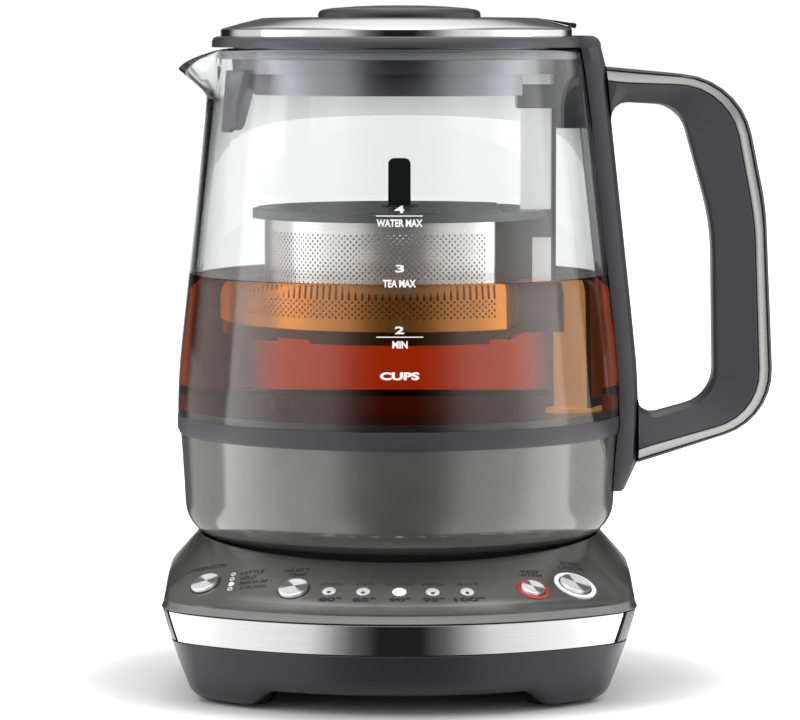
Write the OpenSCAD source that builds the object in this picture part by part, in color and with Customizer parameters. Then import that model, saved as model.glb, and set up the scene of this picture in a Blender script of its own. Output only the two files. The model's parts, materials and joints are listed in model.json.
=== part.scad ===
// Automatic tea maker: a glass jug with a leaf basket that slides on a post, on a corded power base.
// Millimetres, +Z up. Seen from the front (-Y), the spout points left (-X) and the handle right (+X).
// Every sub-part is drawn about the jug's axis. at_axis() then centres the whole part on the origin.

/* [Power base] */
// Half width of the base
base_half_w = 76; // [75.5:0.5:80]
// Reach of the base in front of the jug's axis
base_front = 95; // [93:0.5:104]
// Radius of the curve of the base's front
front_curve_r = 100; // [98:1:130]
// Radius of the base's front corners
corner_r = 25; // [20:1:30]
// Height of the housing's top edge, where the deck sits
housing_top = 31.2; // [30.6:0.1:34]
// Height of the housing's lower edge above the table
skirt_gap = 1; // [0.6:0.1:1.6]
// Wall of the housing
housing_wall = 2.5; // [2:0.1:3]
// Inward taper of the housing from its top edge down to its lower edge
housing_taper = 11.6; // [9:0.2:12]
// Height of the arches between the feet
arch_h = 8.7; // [7.5:0.1:10]
// Width of the arches between the feet
arch_w = 83; // [60:1:88]
// Thickness of the rubber feet
foot_t = 2; // [1.5:0.1:3]
// Radius of the rubber feet
foot_r = 7; // [5:0.5:8]

/* [Deck] */
// Height of the deck's rim at the jug's sides
rim_z = 49; // [48.4:0.1:49.6]
// How much lower the rim is at the front
rim_front_dip = 3; // [1:0.1:3.4]
// Radius of the rim's crest
rim_r = 66.3; // [66:0.1:67.5]
// Height of the lip above the housing's top edge
lip_h = 1.4; // [1:0.1:1.8]
// Radius of the well that the jug stands in
well_r = 65; // [64.8:0.1:65.4]
// Height of the well's floor
well_floor = 39.5; // [39:0.1:39.8]
// Wall of the deck
deck_wall = 2.5; // [2.2:0.1:2.8]

/* [Chrome band] */
// Height of the band
band_h = 9.8; // [8:0.1:10]
// Thickness of the band
band_t = 1.4; // [1.2:0.1:1.6]
// How far round the front corner the band's upper edge starts, in degrees about the jug's axis
band_corner = 2.7; // [0.5:0.1:8]
// Slant of the band's ends, in degrees about the jug's axis
band_slant = 3; // [1:0.5:5]
// Open joint between the band and the rear band, in degrees
band_joint = 1.5; // [1:0.25:2.5]

/* [Controls] */
// Radius of the strength and temperature buttons
small_button_r = 5; // [4:0.1:5.2]
// Radius of the keep-warm button
warm_button_r = 4.2; // [3.6:0.1:4.4]
// Radius of the start button
start_button_r = 5.6; // [5:0.1:6]
// Radial width of the light ring round the keep-warm button
warm_ring_w = 1.3; // [1:0.1:1.5]
// Radial width of the light ring round the start button
start_ring_w = 1.8; // [1.2:0.1:2]
// Height of a button above the deck
button_rise = 0.8; // [0.5:0.1:1.2]
// Travel of a button
button_travel = 0.8; // [0.5:0.1:0.9]
// Radius of the temperature lights
temp_light_r = 2.1; // [1.6:0.1:2.3]
// Radius of the strength lights
strength_light_r = 1.3; // [1:0.1:1.5]

/* [Power connector] */
// Radius of the connector
plug_r = 19.2; // [17:0.1:20]
// Height of the connector above the well's floor
plug_h = 12; // [10:0.1:13]
// Wall of the socket in the jug
socket_wall = 3; // [2.5:0.1:4]
// Gap round each contact
contact_gap = 0.5; // [0.4:0.05:0.8]

/* [Jug] */
// Outer radius of the glass at its foot
glass_foot_r = 73.1; // [72.6:0.1:74]
// Thickness of the glass
glass_wall = 2.4; // [2:0.1:2.6]
// Height of the glass above the seam ring
glass_h = 119.7; // [117:0.1:121]
// Slope of the glass above its belly, in degrees
glass_slope = 6.2; // [5.8:0.05:6.4]
// Height of the curved belly at the foot of the glass
belly_h = 24; // [18:0.5:30]
// Reach of the spout from the jug's axis
spout_reach = 73.4; // [70:0.2:76]
// Half width of the spout's mouth
spout_half_w = 18.5; // [17:0.1:19]
// Height of the seam ring
seam_h = 6; // [5.2:0.1:7]
// Height of the metal shell
shell_h = 34.3; // [33:0.1:36]
// Radius of the metal shell's lower corner
shell_corner_r = 12; // [11.6:0.1:12.4]
// Inward slope of the metal shell, in degrees
shell_slope = 4.5; // [4:0.1:5]
// Thickness of the metal shell
shell_t = 1.2; // [0.8:0.1:1.6]
// Thickness of the heater plate
plate_t = 1.8; // [1.2:0.1:2.2]
// Height of the shell's lower edge above the well's floor
shell_clear = 8; // [7.6:0.1:8.6]

/* [Handle] */
// Reach of the handle from the jug's axis
handle_reach = 123; // [118:0.5:128]
// Thickness of the grip, from the finger gap to its outer face
grip_t = 19.6; // [17:0.2:22]
// Width of the grip
grip_w = 26; // [22:0.5:30]
// Drop of the upper arm's top below the glass rim
arm_drop = 5.9; // [4:0.1:8]
// Height of the upper arm at the spine
arm_h = 11.3; // [9:0.1:13]
// Thickness of the metal cap on the handle's outer face
cap_t = 4.6; // [3:0.1:6]
// Thickness of the spine outside the glass
spine_t = 5.4; // [4.6:0.1:7]
// Half width of the spine
spine_half_w = 14.5; // [12:0.5:16]
// Half width of the spine's head over the glass rim
head_half_w = 18.4; // [17:0.1:20]

/* [Lid] */
// Outer radius of the lid's band
lid_band_r = 61.5; // [61.2:0.1:63]
// Height of the lid's band
lid_band_h = 3.6; // [3:0.1:4.5]
// Radius of the lid's metal cap
cap_r = 58.6; // [57:0.1:59]
// Rise of the metal cap above the band
cap_rise = 6.2; // [5:0.1:8]
// Radius of the knob
knob_r = 27; // [22:0.5:32]
// Height of the knob
knob_h = 4.6; // [4:0.1:8]
// Radius of the lid's inner skirt
skirt_r = 50.6; // [50:0.1:51.5]
// Depth of the skirt below the glass rim
skirt_depth = 15; // [12:0.5:16]

/* [Leaf basket] */
// Outer radius of the basket's rim
basket_rim_r = 48.3; // [47.6:0.1:49]
// Height of the basket's rim
basket_rim_h = 2.9; // [2.6:0.1:4]
// Outer radius of the steel drum
drum_r = 44.4; // [43:0.1:45]
// Depth of the drum below the rim
drum_h = 35.2; // [30:0.2:36]
// Thickness of the drum's steel
drum_t = 0.8; // [0.6:0.1:1]
// Distance of the drum's flat side from the jug's axis
drum_flat_x = 30.8; // [29:0.1:32]
// Radius of the drum's holes
hole_r = 0.8; // [0.6:0.05:1]
// Spacing of the drum's holes
hole_pitch = 5; // [4.5:0.1:7]
// Height of the basket's rim above the heater plate, in the resting position
basket_lift = 66.5; // [62:0.1:70]
// Width of the steel post, across the front
post_w = 9.9; // [9:0.1:10.5]
// Depth of the steel post, front to back
post_d = 13; // [11:0.1:14]
// Distance of the post's near face from the jug's axis
post_x = 39.8; // [39.4:0.1:40.2]
// Clearance between the basket's slider and the post
slide_gap = 0.4; // [0.3:0.05:0.5]

/* [Hidden] */
$fn = 64;

fit = 0.05;
seat = 0.3;
e = 0.1;

// Heights, from the table up
lip_z = housing_top + lip_h;
band_z = housing_top - lip_h - band_h;
cover_z = foot_t + 5;
cover_t = 2;
tray_t = 2;
jug_foot_z = well_floor + seat;
shell_z = well_floor + shell_clear;
shell_top = shell_z + shell_h;
seam_top = shell_top + seam_h;
plate_z = seam_top - 1;
plate_top = plate_z + plate_t;
glass_top = seam_top + glass_h;
basket_rim_top = plate_top + basket_lift;
basket_rim_z = basket_rim_top - basket_rim_h;
drum_z = basket_rim_z - drum_h;

// Plan outline of the base, as a radius about the jug's axis. It has a round rear, straight sides,
// round front corners and a gently curved front, all moved in by the inset.
front_y = front_curve_r - base_front;
corner_x = base_half_w - corner_r;
corner_y = front_y - sqrt(pow(front_curve_r - corner_r, 2) - pow(corner_x, 2));

function ray_to_circle(a, cx, cy, r) =
    let (along = cos(a) * cx + sin(a) * cy)
    along + sqrt(along * along - cx * cx - cy * cy + r * r);

function corner_from(inset) = atan2(-corner_y, base_half_w - inset);

function corner_to(inset) =
    let (k = (front_curve_r - inset) / (front_curve_r - corner_r))
    atan2(-front_y - (corner_y - front_y) * k, corner_x * k);

function plan_r(a, inset = 0) =
    let (below = atan2(-sin(a), abs(cos(a))), side = cos(a) > 0 ? 1 : -1)
    below <= 0 ? base_half_w - inset :
    below < corner_from(inset) ? (base_half_w - inset) / cos(below) :
    below < corner_to(inset) ? ray_to_circle(a, side * corner_x, corner_y, corner_r - inset) :
    ray_to_circle(a, 0, front_y, front_curve_r - inset);

plan_angles = concat([for (a = [0:7.5:172.5]) a], [for (a = [180:3:222]) a],
    [for (a = [225:5:310]) a], [for (a = [315:3:357]) a]);

function plan_ring(inset, z, angles = plan_angles) =
    [for (a = angles) [plan_r(a, inset) * cos(a), plan_r(a, inset) * sin(a), z]];

function flat(ring) = [for (p = ring) [p[0], p[1]]];

function round_ring(r, z) = [for (a = plan_angles) [r * cos(a), r * sin(a), z]];

// Surface of the deck, from its lip (u = 0) to the rim of the well (u = 1)
function rim_height(a) = rim_z - rim_front_dip * pow(max(0, -sin(a)), 2);

function deck_r(a, u) = plan_r(a) + (rim_r - plan_r(a)) * u;

function deck_point(a, u, v) = [deck_r(a, u) * cos(a), deck_r(a, u) * sin(a),
    lip_z + (rim_height(a) - lip_z) * v];

slope_u = 0.1;
slope_v = 0.4;

function slope_point(a, u) = deck_point(a, u, slope_v + (u - slope_u) * (1 - slope_v) / (1 - slope_u));

function slope_normal(a, u) =
    let (n = cross(slope_point(a + 1, u) - slope_point(a - 1, u),
        slope_point(a, u + 0.01) - slope_point(a, u - 0.01)))
    n / norm(n);

// Places its children on the deck's slope, square to it
module on_deck(place) {
    n = slope_normal(place[0], place[1]);
    translate(slope_point(place[0], place[1]))
        rotate([0, acos(n[2]), atan2(n[1], n[0])])
            children();
}

// Places of the controls: polar angle, and fraction of the way from the lip to the rim
strength_place = [226.5, 0.27];
temperature_place = [248, 0.28];
warm_place = [298, 0.27];
start_place = [309.5, 0.3];
temp_light_places = [for (i = [-2:2]) [270 + 7 * i, 0.27]];
strength_light_places = [for (i = [0:3]) [230.5 + 1.5 * i, 0.43 - 0.095 * i]];

// Closed solid through rings of points, the first and last of them flat
module loft(rings) {
    n = len(rings[0]);
    m = len(rings);
    polyhedron(
        points = [for (r = rings) for (p = r) p],
        faces = concat(
            [[for (i = [0:n - 1]) i]],
            [[for (i = [n - 1:-1:0]) (m - 1) * n + i]],
            [for (j = [0:m - 2]) for (i = [0:n - 1]) [j * n + i, (j + 1) * n + i, (j + 1) * n + (i + 1) % n]],
            [for (j = [0:m - 2]) for (i = [0:n - 1])
                [j * n + i, (j + 1) * n + (i + 1) % n, j * n + (i + 1) % n]]
        ),
        convexity = 6
    );
}

// Closed shell whose section runs through the rings and back to the first
module ring_shell(rings) {
    n = len(rings[0]);
    m = len(rings);
    polyhedron(
        points = [for (r = rings) for (p = r) p],
        faces = [for (j = [0:m - 1]) for (i = [0:n - 1]) for (half = [0, 1])
            let (k = (j + 1) % m, next = (i + 1) % n)
            half == 0 ? [j * n + i, k * n + i, k * n + next] : [j * n + i, k * n + next, j * n + next]],
        convexity = 10
    );
}

// Outline with rounded corners, from points of [x, y, radius]
function unit(v) = v / norm(v);

function corner_points(before, at, after, r, steps) =
    let (
        p = [at[0], at[1]],
        to_before = unit([before[0], before[1]] - p),
        to_after = unit([after[0], after[1]] - p),
        half = acos(to_before * to_after) / 2,
        centre = p + unit(to_before + to_after) * r / sin(half),
        first = p + to_before * r / tan(half) - centre,
        last = p + to_after * r / tan(half) - centre,
        a0 = atan2(first[1], first[0]),
        turn = atan2(first[0] * last[1] - first[1] * last[0], first * last)
    )
    [for (i = [0:steps]) centre + r * [cos(a0 + turn * i / steps), sin(a0 + turn * i / steps)]];

function round_path(points, steps = 8) =
    [for (i = [0:len(points) - 1])
        let (p = points[i])
        each p[2] == 0 ? [[p[0], p[1]]] :
            corner_points(points[(i + len(points) - 1) % len(points)], p,
                points[(i + 1) % len(points)], p[2], steps)];

// Flat shapes
module rounded_bar(w, d, r) {
    square([w - 2 * r, d], center = true);
    square([w, d - 2 * r], center = true);
    for (x = [-1, 1])
        for (y = [-1, 1])
            translate([x * (w / 2 - r), y * (d / 2 - r)])
                circle(r);
}

module ring(outer, inner, z, h) {
    translate([0, 0, z])
        difference() {
            cylinder(r = outer, h = h);
            translate([0, 0, -e])
                cylinder(r = inner, h = h + 2 * e);
        }
}

// ---- Power base ----

function housing_inset(z) =
    let (k = 1 - (z - skirt_gap) / (housing_top - skirt_gap))
    housing_taper * pow(max(0, k), 1.2);

band_start = 180 + corner_from(0) + band_corner;
band_gap = 0.36;
groove_depth = band_t + band_gap;
groove_bottom = band_z - 0.2;
groove_top = band_z + band_h + 0.2;
groove_back = housing_inset(groove_bottom) + groove_depth;

module base_housing() {
    wall_inset = groove_back + housing_wall;
    levels = [skirt_gap, skirt_gap + 3, skirt_gap + 7, skirt_gap + 11, skirt_gap + 15, groove_bottom];
    color([0.22, 0.22, 0.24])
        difference() {
            union() {
                ring_shell(concat(
                    [for (z = levels) plan_ring(housing_inset(z), z)],
                    [
                        plan_ring(groove_back, groove_bottom),
                        plan_ring(groove_back, groove_top),
                        plan_ring(housing_inset(groove_top), groove_top),
                        plan_ring(0.1, housing_top),
                        plan_ring(wall_inset, housing_top),
                        plan_ring(wall_inset, groove_bottom)
                    ],
                    [for (z = [skirt_gap + 11, skirt_gap])
                        plan_ring(housing_inset(z) + housing_wall + 0.5, z)]
                ));
                for (place = screw_places)
                    translate([place[0], place[1], cover_z + cover_t]) {
                        cylinder(r = pillar_r, h = housing_top - cover_z - cover_t - 1);
                        rotate([0, 0, atan2(place[1], place[0])])
                            translate([0, -1.2, 0])
                                cube([rib_len, 2.4, groove_bottom - cover_z - cover_t]);
                    }
            }
            for (side = [0, 180])
                rotate([90, 0, side])
                    translate([0, 0, base_half_w / 2])
                        linear_extrude(base_front)
                            polygon(round_path([
                                [-arch_w / 2 - 5, -1, 0],
                                [-arch_w / 2, arch_h, 4],
                                [arch_w / 2, arch_h, 4],
                                [arch_w / 2 + 5, -1, 0]
                            ], 5));
            for (place = screw_places)
                translate([place[0], place[1], cover_z])
                    cylinder(r = screw_r + fit, h = screw_len + 1);
            translate([0, 0, gland_z])
                rotate([-90, 0, 0])
                    cylinder(r = gland_neck_r + fit, h = base_half_w + 5);
        }
}

pillar_r = 4.5;
screw_r = 1.5;
screw_len = 12;
screw_angles = [35, 145, 212, 328];
screw_head_r = 1.6 * screw_r;
pillar_inset = housing_inset(cover_z) + housing_wall + 0.5 + seat + screw_head_r + 0.5;
rib_len = pillar_inset - housing_inset(cover_z + cover_t) - 0.8;
screw_places = [for (a = screw_angles) plan_r(a, pillar_inset) * [cos(a), sin(a)]];

gland_z = 15.5;
gland_neck_r = 4.5;
gland_flange_r = 6.2;
gland_bore_r = 3.4;

deck_profile = [[0, 0], [0.008, 0.15], [0.025, 0.27], [0.055, 0.35], [slope_u, slope_v], [0.4, 0.6],
    [0.7, 0.8], [0.94, 0.96], [0.98, 0.993], [1, 1]];

module base_deck() {
    color([0.42, 0.42, 0.40])
        difference() {
            ring_shell(concat(
                [plan_ring(0.3, housing_top)],
                [for (p = deck_profile) [for (a = plan_angles) deck_point(a, p[0], p[1])]],
                [
                    [for (a = plan_angles) [well_r * cos(a), well_r * sin(a), rim_height(a) - 1]],
                    round_ring(well_r, well_floor),
                    round_ring(well_r + deck_wall, well_floor),
                    [for (a = plan_angles) (well_r + deck_wall + 1.5) * [cos(a), sin(a), 0]
                        + [0, 0, rim_height(a) - 5.2]],
                    [for (a = plan_angles) let (r = plan_r(a, deck_wall + 1)) [r * cos(a), r * sin(a),
                        lip_z + (rim_height(a) - lip_z) / 3 - 1]],
                    plan_ring(deck_wall, housing_top)
                ]
            ));
            on_deck(strength_place)
                button_hole(small_button_r + seat);
            on_deck(temperature_place)
                button_hole(small_button_r + seat);
            on_deck(warm_place)
                button_hole(warm_button_r + seat + warm_ring_w + fit);
            on_deck(start_place)
                button_hole(start_button_r + seat + start_ring_w + fit);
            for (place = temp_light_places)
                on_deck(place)
                    button_hole(temp_light_r + fit);
            for (place = strength_light_places)
                on_deck(place)
                    button_hole(strength_light_r + fit);
        }
}

module button_hole(r) {
    translate([0, 0, -7])
        cylinder(r = r, h = 9);
}

// Part of a band in the housing's groove, with slanted ends
module band_sweep(from, to, slant, inset, steps) {
    low = [for (i = [0:steps]) from + slant + (to - from - 2 * slant) * i / steps];
    high = [for (i = [0:steps]) from + (to - from) * i / steps];
    low_out = plan_ring(housing_inset(band_z) + inset, band_z, low);
    high_out = plan_ring(housing_inset(band_z + band_h) + inset, band_z + band_h, high);
    low_in = plan_ring(groove_back - band_gap, band_z, low);
    high_in = plan_ring(groove_back - band_gap, band_z + band_h, high);
    loft([for (i = [0:steps]) [low_out[i], high_out[i], high_in[i], low_in[i]]]);
}

module chrome_band() {
    color([0.86, 0.86, 0.87])
        band_sweep(band_start, 540 - band_start, band_slant, 0, 60);
}

module rear_band() {
    first = 540 - band_start + band_joint;
    last = 360 + band_start - band_joint;
    color([0.22, 0.22, 0.24])
        band_sweep(first, last, -band_slant, 0.1, 80);
}

module well_tray() {
    color([0.06, 0.06, 0.07])
        difference() {
            union() {
                translate([0, 0, well_floor - tray_t])
                    cylinder(r = well_r + deck_wall - 0.2, h = tray_t);
                ring(0.62 * well_r, 0.59 * well_r, well_floor - e, 0.1 + e);
            }
            translate([0, 0, well_floor - tray_t - e])
                cylinder(r = plug_r - 1.5, h = tray_t + 1);
            translate([-50, 0, well_floor - tray_t - e])
                cylinder(r = 2, h = tray_t + 1);
        }
}

module bottom_cover() {
    inset = housing_inset(cover_z) + housing_wall + 0.5 + seat;
    color([0.12, 0.12, 0.13])
        difference() {
            union() {
                translate([0, 0, cover_z])
                    linear_extrude(cover_t)
                        polygon(flat(plan_ring(inset, 0)));
                for (place = foot_places)
                    translate([place[0], place[1], foot_t])
                        cylinder(r = foot_r + 1.2, h = cover_z - foot_t + e);
                ring(33, 30, foot_t, cover_z - foot_t + e);
                for (a = [45:90:315])
                    rotate([0, 0, a])
                        translate([31, -5, foot_t])
                            cube([9, 10, 1.6]);
            }
            for (place = screw_places) {
                translate([place[0], place[1], cover_z - e])
                    cylinder(r = screw_r + fit, h = cover_t + 1);
                translate([place[0], place[1], cover_z - e])
                    cylinder(r = screw_head_r + 0.1, h = 1.2 + e);
            }
            for (a = [60:30:120])
                rotate([0, 0, a])
                    translate([18, -1, cover_z - e])
                        cube([8, 2, cover_t + 1]);
        }
}

foot_angles = [38, 142, 229, 311];
foot_inset = housing_taper + housing_wall + foot_r + 2.5;
foot_places = [for (a = foot_angles) plan_r(a, foot_inset) * [cos(a), sin(a)]];

module rubber_feet() {
    color([0.08, 0.08, 0.08])
        for (place = foot_places)
            translate([place[0], place[1], 0])
                rotate_extrude()
                    polygon([[0, 0], [foot_r - 0.6, 0], [foot_r, 0.6], [foot_r, foot_t], [0, foot_t]]);
}

module base_screws() {
    color([0.6, 0.6, 0.6])
        for (place = screw_places)
            translate([place[0], place[1], cover_z + 0.1])
                difference() {
                    union() {
                        cylinder(r = screw_head_r, h = 1);
                        cylinder(r = screw_r, h = screw_len);
                    }
                    for (a = [0, 90])
                        rotate([0, 0, a])
                            translate([-screw_r, -0.3, -e])
                                cube([2 * screw_r, 0.6, 0.6]);
                }
}

module cord_gland() {
    wall_out = base_half_w - housing_inset(gland_z);
    color([0.07, 0.07, 0.08])
        translate([0, 0, gland_z])
            rotate([-90, 0, 0])
                rotate_extrude()
                    polygon([
                        [gland_bore_r, wall_out - 8],
                        [gland_flange_r, wall_out - 8],
                        [gland_flange_r, wall_out - 6],
                        [gland_neck_r, wall_out - 6],
                        [gland_neck_r, wall_out - 0.6],
                        [gland_neck_r - 0.6, wall_out],
                        [gland_bore_r + 0.4, wall_out],
                        [gland_bore_r, wall_out - 0.6]
                    ]);
}

board_z = 28.6;
board_t = 1.6;

// Distance along a control's axis, from the deck down to the control board
function depth_to_board(place) =
    (slope_point(place[0], place[1])[2] - board_z - board_t) / slope_normal(place[0], place[1])[2];

module control_board() {
    arc = [for (a = [226:4:314]) a];
    color([0.05, 0.3, 0.15]) {
        translate([0, 0, board_z])
            linear_extrude(board_t)
                polygon(concat(
                    flat(plan_ring(groove_back + housing_wall + seat, 0, arc)),
                    [for (i = [len(arc) - 1:-1:0]) 68 * [cos(arc[i]), sin(arc[i])]]
                ));
        for (place = [strength_place, temperature_place, warm_place, start_place])
            on_deck(place)
                translate([0, 0, -depth_to_board(place) - 0.3])
                    cylinder(r = 1.6, h = 1.6);
    }
}

module indicator_lights() {
    color([0.9, 0.92, 0.9]) {
        for (place = temp_light_places)
            on_deck(place)
                lens(temp_light_r);
        for (place = strength_light_places)
            on_deck(place)
                lens(strength_light_r);
    }
}

module lens(r) {
    rotate_extrude()
        polygon([[0, -2.2], [r, -2.2], [r, 0], [0.7 * r, 0.2], [0, 0.3]]);
}

module light_ring(inner, w) {
    rotate_extrude()
        polygon([
            [inner, -3],
            [inner + w, -3],
            [inner + w, 0.1],
            [inner + w - 0.3, 0.3],
            [inner + 0.3, 0.3],
            [inner, 0.1]
        ]);
}

module warm_light_ring() {
    color([0.75, 0.1, 0.1])
        on_deck(warm_place)
            light_ring(warm_button_r + seat, warm_ring_w);
}

module start_light_ring() {
    color([0.95, 0.95, 0.96])
        on_deck(start_place)
            light_ring(start_button_r + seat, start_ring_w);
}

// Round push button with a dished top and a stem down to its switch
module push_button(place, r) {
    stem_end = -depth_to_board(place) + 1.3 + button_travel + 0.35;
    color([0.8, 0.8, 0.8])
        on_deck(place)
            rotate_extrude()
                polygon([
                    [0, stem_end],
                    [1.4, stem_end],
                    [1.4, -3.4],
                    [r, -3.4],
                    [r, button_rise - 0.3],
                    [r - 0.3, button_rise],
                    [r - 1, button_rise],
                    [0.5 * r, button_rise - 0.35],
                    [0, button_rise - 0.45]
                ]);
}

module strength_button() {
    push_button(strength_place, small_button_r);
}

module temperature_button() {
    push_button(temperature_place, small_button_r);
}

module warm_button() {
    push_button(warm_place, warm_button_r);
}

module start_button() {
    push_button(start_place, start_button_r);
}

// ---- Power connector: live rings and an earth pin, all round the jug's axis ----

plug_top = well_floor + plug_h;
slot_depth = 8;
blade_t = 0.8;
blade_rs = [8.5, 14.5];
pin_r = 2.4;

module base_connector() {
    color([0.05, 0.05, 0.05])
        difference() {
            union() {
                translate([0, 0, well_floor])
                    cylinder(r = plug_r, h = plug_h);
                translate([0, 0, well_floor - tray_t - 4])
                    cylinder(r = plug_r - 1.5 - fit, h = tray_t + 4 + e);
                translate([0, 0, well_floor - tray_t - 4])
                    cylinder(r = plug_r + 4, h = 4);
            }
            for (r = blade_rs)
                ring(r + blade_t / 2 + contact_gap + 0.7, r - blade_t / 2 - contact_gap,
                    plug_top - slot_depth, slot_depth + e);
            translate([0, 0, plug_top - slot_depth])
                cylinder(r = pin_r + contact_gap + 0.6, h = slot_depth + e);
        }
}

module base_contacts() {
    color([0.8, 0.65, 0.3]) {
        for (r = blade_rs)
            ring(r + blade_t / 2 + contact_gap + 0.6, r + blade_t / 2 + contact_gap,
                plug_top - slot_depth, slot_depth - 2);
        ring(pin_r + contact_gap + 0.55, pin_r + contact_gap, plug_top - slot_depth, slot_depth - 2);
    }
}

socket_r = plug_r + seat + 0.1;
socket_top = plug_top + 1.5;
socket_roof = 3;
socket_flange = 3;

module jug_socket() {
    color([0.1, 0.1, 0.1])
        rotate_extrude()
            polygon([
                [0, socket_top],
                [socket_r, socket_top],
                [socket_r, jug_foot_z],
                [socket_r + socket_wall, jug_foot_z],
                [socket_r + socket_wall, socket_top - 1],
                [socket_r + socket_wall + socket_flange, socket_top - 1],
                [socket_r + socket_wall + socket_flange, socket_top + 1],
                [socket_r, socket_top + socket_roof],
                [0, socket_top + socket_roof]
            ]);
}

module socket_contacts() {
    color([0.8, 0.65, 0.3]) {
        for (r = blade_rs)
            ring(r + blade_t / 2, r - blade_t / 2,
                plug_top - slot_depth + 2, socket_top - plug_top + slot_depth - 2);
        translate([0, 0, plug_top - slot_depth + 2])
            cylinder(r = pin_r, h = socket_top - plug_top + slot_depth - 2);
    }
}

// ---- Jug ----

belly_r = belly_h / sin(glass_slope);

// Outer radius of the glass at a height above the table
function glass_r(z) =
    z < seam_top + belly_h
        ? glass_foot_r - belly_r * (1 - cos(asin(max(0, z - seam_top) / belly_r)))
        : glass_foot_r - belly_r * (1 - cos(glass_slope)) - (z - seam_top - belly_h) * tan(glass_slope);

belly_levels = [for (i = [0:5]) seam_top + belly_h * i / 5];

module glass_jug() {
    lip_r = glass_r(glass_top);
    tip_z = glass_top - 7;
    color([0.85, 0.9, 0.92, 0.4])
        difference() {
            union() {
                rotate_extrude()
                    polygon(concat(
                        [[0, seam_top]],
                        [for (z = belly_levels) [glass_r(z), z]],
                        [[lip_r, glass_top], [0, glass_top]]
                    ));
                hull() {
                    translate([-spout_reach + 1.5, 0, tip_z - 1.1])
                        cylinder(r = 1.5, h = 2.2, $fn = 24);
                    translate([-lip_r + spout_half_w - 0.5, 0, glass_top - 2])
                        cylinder(r = spout_half_w, h = 2, $fn = 48);
                    translate([-lip_r, 0, glass_top - 14])
                        sphere(r = 1.5, $fn = 16);
                }
            }
            rotate_extrude()
                polygon(concat(
                    [[0, seam_top - 1], [glass_foot_r - glass_wall, seam_top - 1]],
                    [for (z = belly_levels) [glass_r(z) - glass_wall, z]],
                    [[glass_r(glass_top + 1) - glass_wall, glass_top + 1], [0, glass_top + 1]]
                ));
            hull() {
                translate([-spout_reach + 2.6, 0, tip_z + 0.3])
                    cylinder(r = 0.7, h = 6, $fn = 24);
                translate([-lip_r + spout_half_w - 0.5, 0, glass_top - 2.4])
                    cylinder(r = spout_half_w - 1.9, h = 6, $fn = 48);
                translate([-lip_r + 3.4, 0, glass_top - 11.5])
                    sphere(r = 1.2, $fn = 16);
            }
        }
}

plate_r = glass_foot_r - glass_wall - 2.4;
gasket_t = 0.8;
ledge_t = 3;

module seam_ring() {
    inner = glass_foot_r - glass_wall - seat;
    shell_out = shell_r(shell_top);
    color([0.3, 0.31, 0.33])
        rotate_extrude()
            polygon([
                [plate_r - 4, plate_z - gasket_t - ledge_t],
                [shell_out - shell_t - 1, plate_z - gasket_t - ledge_t],
                [shell_out - shell_t - 1, shell_top],
                [shell_out + 0.3, shell_top],
                [glass_foot_r + 0.1, shell_top + 1.5],
                [glass_foot_r + 0.1, seam_top],
                [inner, seam_top],
                [inner, seam_top + 2.2],
                [plate_r + 0.1, seam_top + 2.2],
                [plate_r + 0.1, plate_z - gasket_t],
                [plate_r - 4, plate_z - gasket_t]
            ]);
}

// Outer outline of the metal shell: a tapered wall and a round lower corner
corner_centre_z = shell_z + shell_corner_r * sin(75);
wall_foot_z = corner_centre_z - shell_corner_r * sin(shell_slope);

function shell_r(z) =
    glass_foot_r - 0.9 - (shell_top - z) * tan(shell_slope)
    + (shell_top - z) * (shell_top - z) * 0.0006;

corner_centre_r = shell_r(wall_foot_z) - shell_corner_r * cos(shell_slope);

function shell_outline(inset) = concat(
    [for (a = [-75:10:-15]) [corner_centre_r, corner_centre_z] + (shell_corner_r - inset) * [cos(a), sin(a)]],
    [for (i = [0:4]) let (z = wall_foot_z + (shell_top - wall_foot_z) * i / 4) [shell_r(z) - inset, z]]
);

module metal_shell() {
    outer = shell_outline(0);
    inner = shell_outline(shell_t);
    color([0.45, 0.44, 0.42])
        rotate_extrude()
            polygon(concat(outer, [for (i = [len(inner) - 1:-1:0]) inner[i]]));
}

module heater_plate() {
    color([0.75, 0.75, 0.76]) {
        translate([0, 0, plate_z])
            cylinder(r = plate_r, h = plate_t);
        translate([-30, 0, plate_top - e])
            cylinder(r = 3, h = 5);
    }
}

module plate_gasket() {
    color([0.85, 0.85, 0.85])
        ring(plate_r, plate_r - 4, plate_z - gasket_t, gasket_t);
}

element_r = 31;
element_tube_r = 3.4;

module heating_element() {
    color([0.5, 0.5, 0.5])
        rotate_extrude()
            translate([element_r, plate_z - element_tube_r - 0.6])
                union() {
                    circle(element_tube_r);
                    translate([-2, 0])
                        square([4, element_tube_r + 0.6]);
                }
}

module thermostat() {
    low = socket_top + socket_roof + seat;
    color([0.15, 0.15, 0.16]) {
        translate([0, 0, low])
            cylinder(r = 20, h = 14);
        for (a = [30:120:270])
            rotate([0, 0, a])
                translate([15, 0, low + 14 - e])
                    cylinder(r = 2.5, h = plate_z - low - 14 + e);
    }
}

post_centre_x = post_x + post_w / 2;
motor_r = 8.5;
motor_h = 20;

module lift_motor() {
    color([0.55, 0.55, 0.56])
        translate([post_centre_x, 0, plate_z - motor_h]) {
            cylinder(r = motor_r, h = motor_h);
            translate([0, 0, -3])
                cylinder(r = 3, h = 3 + e);
        }
}

cover_hole_r = socket_r + socket_wall + seat;
cover_top_r = corner_centre_r + (shell_corner_r - shell_t) * cos(75) - 0.3;

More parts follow.
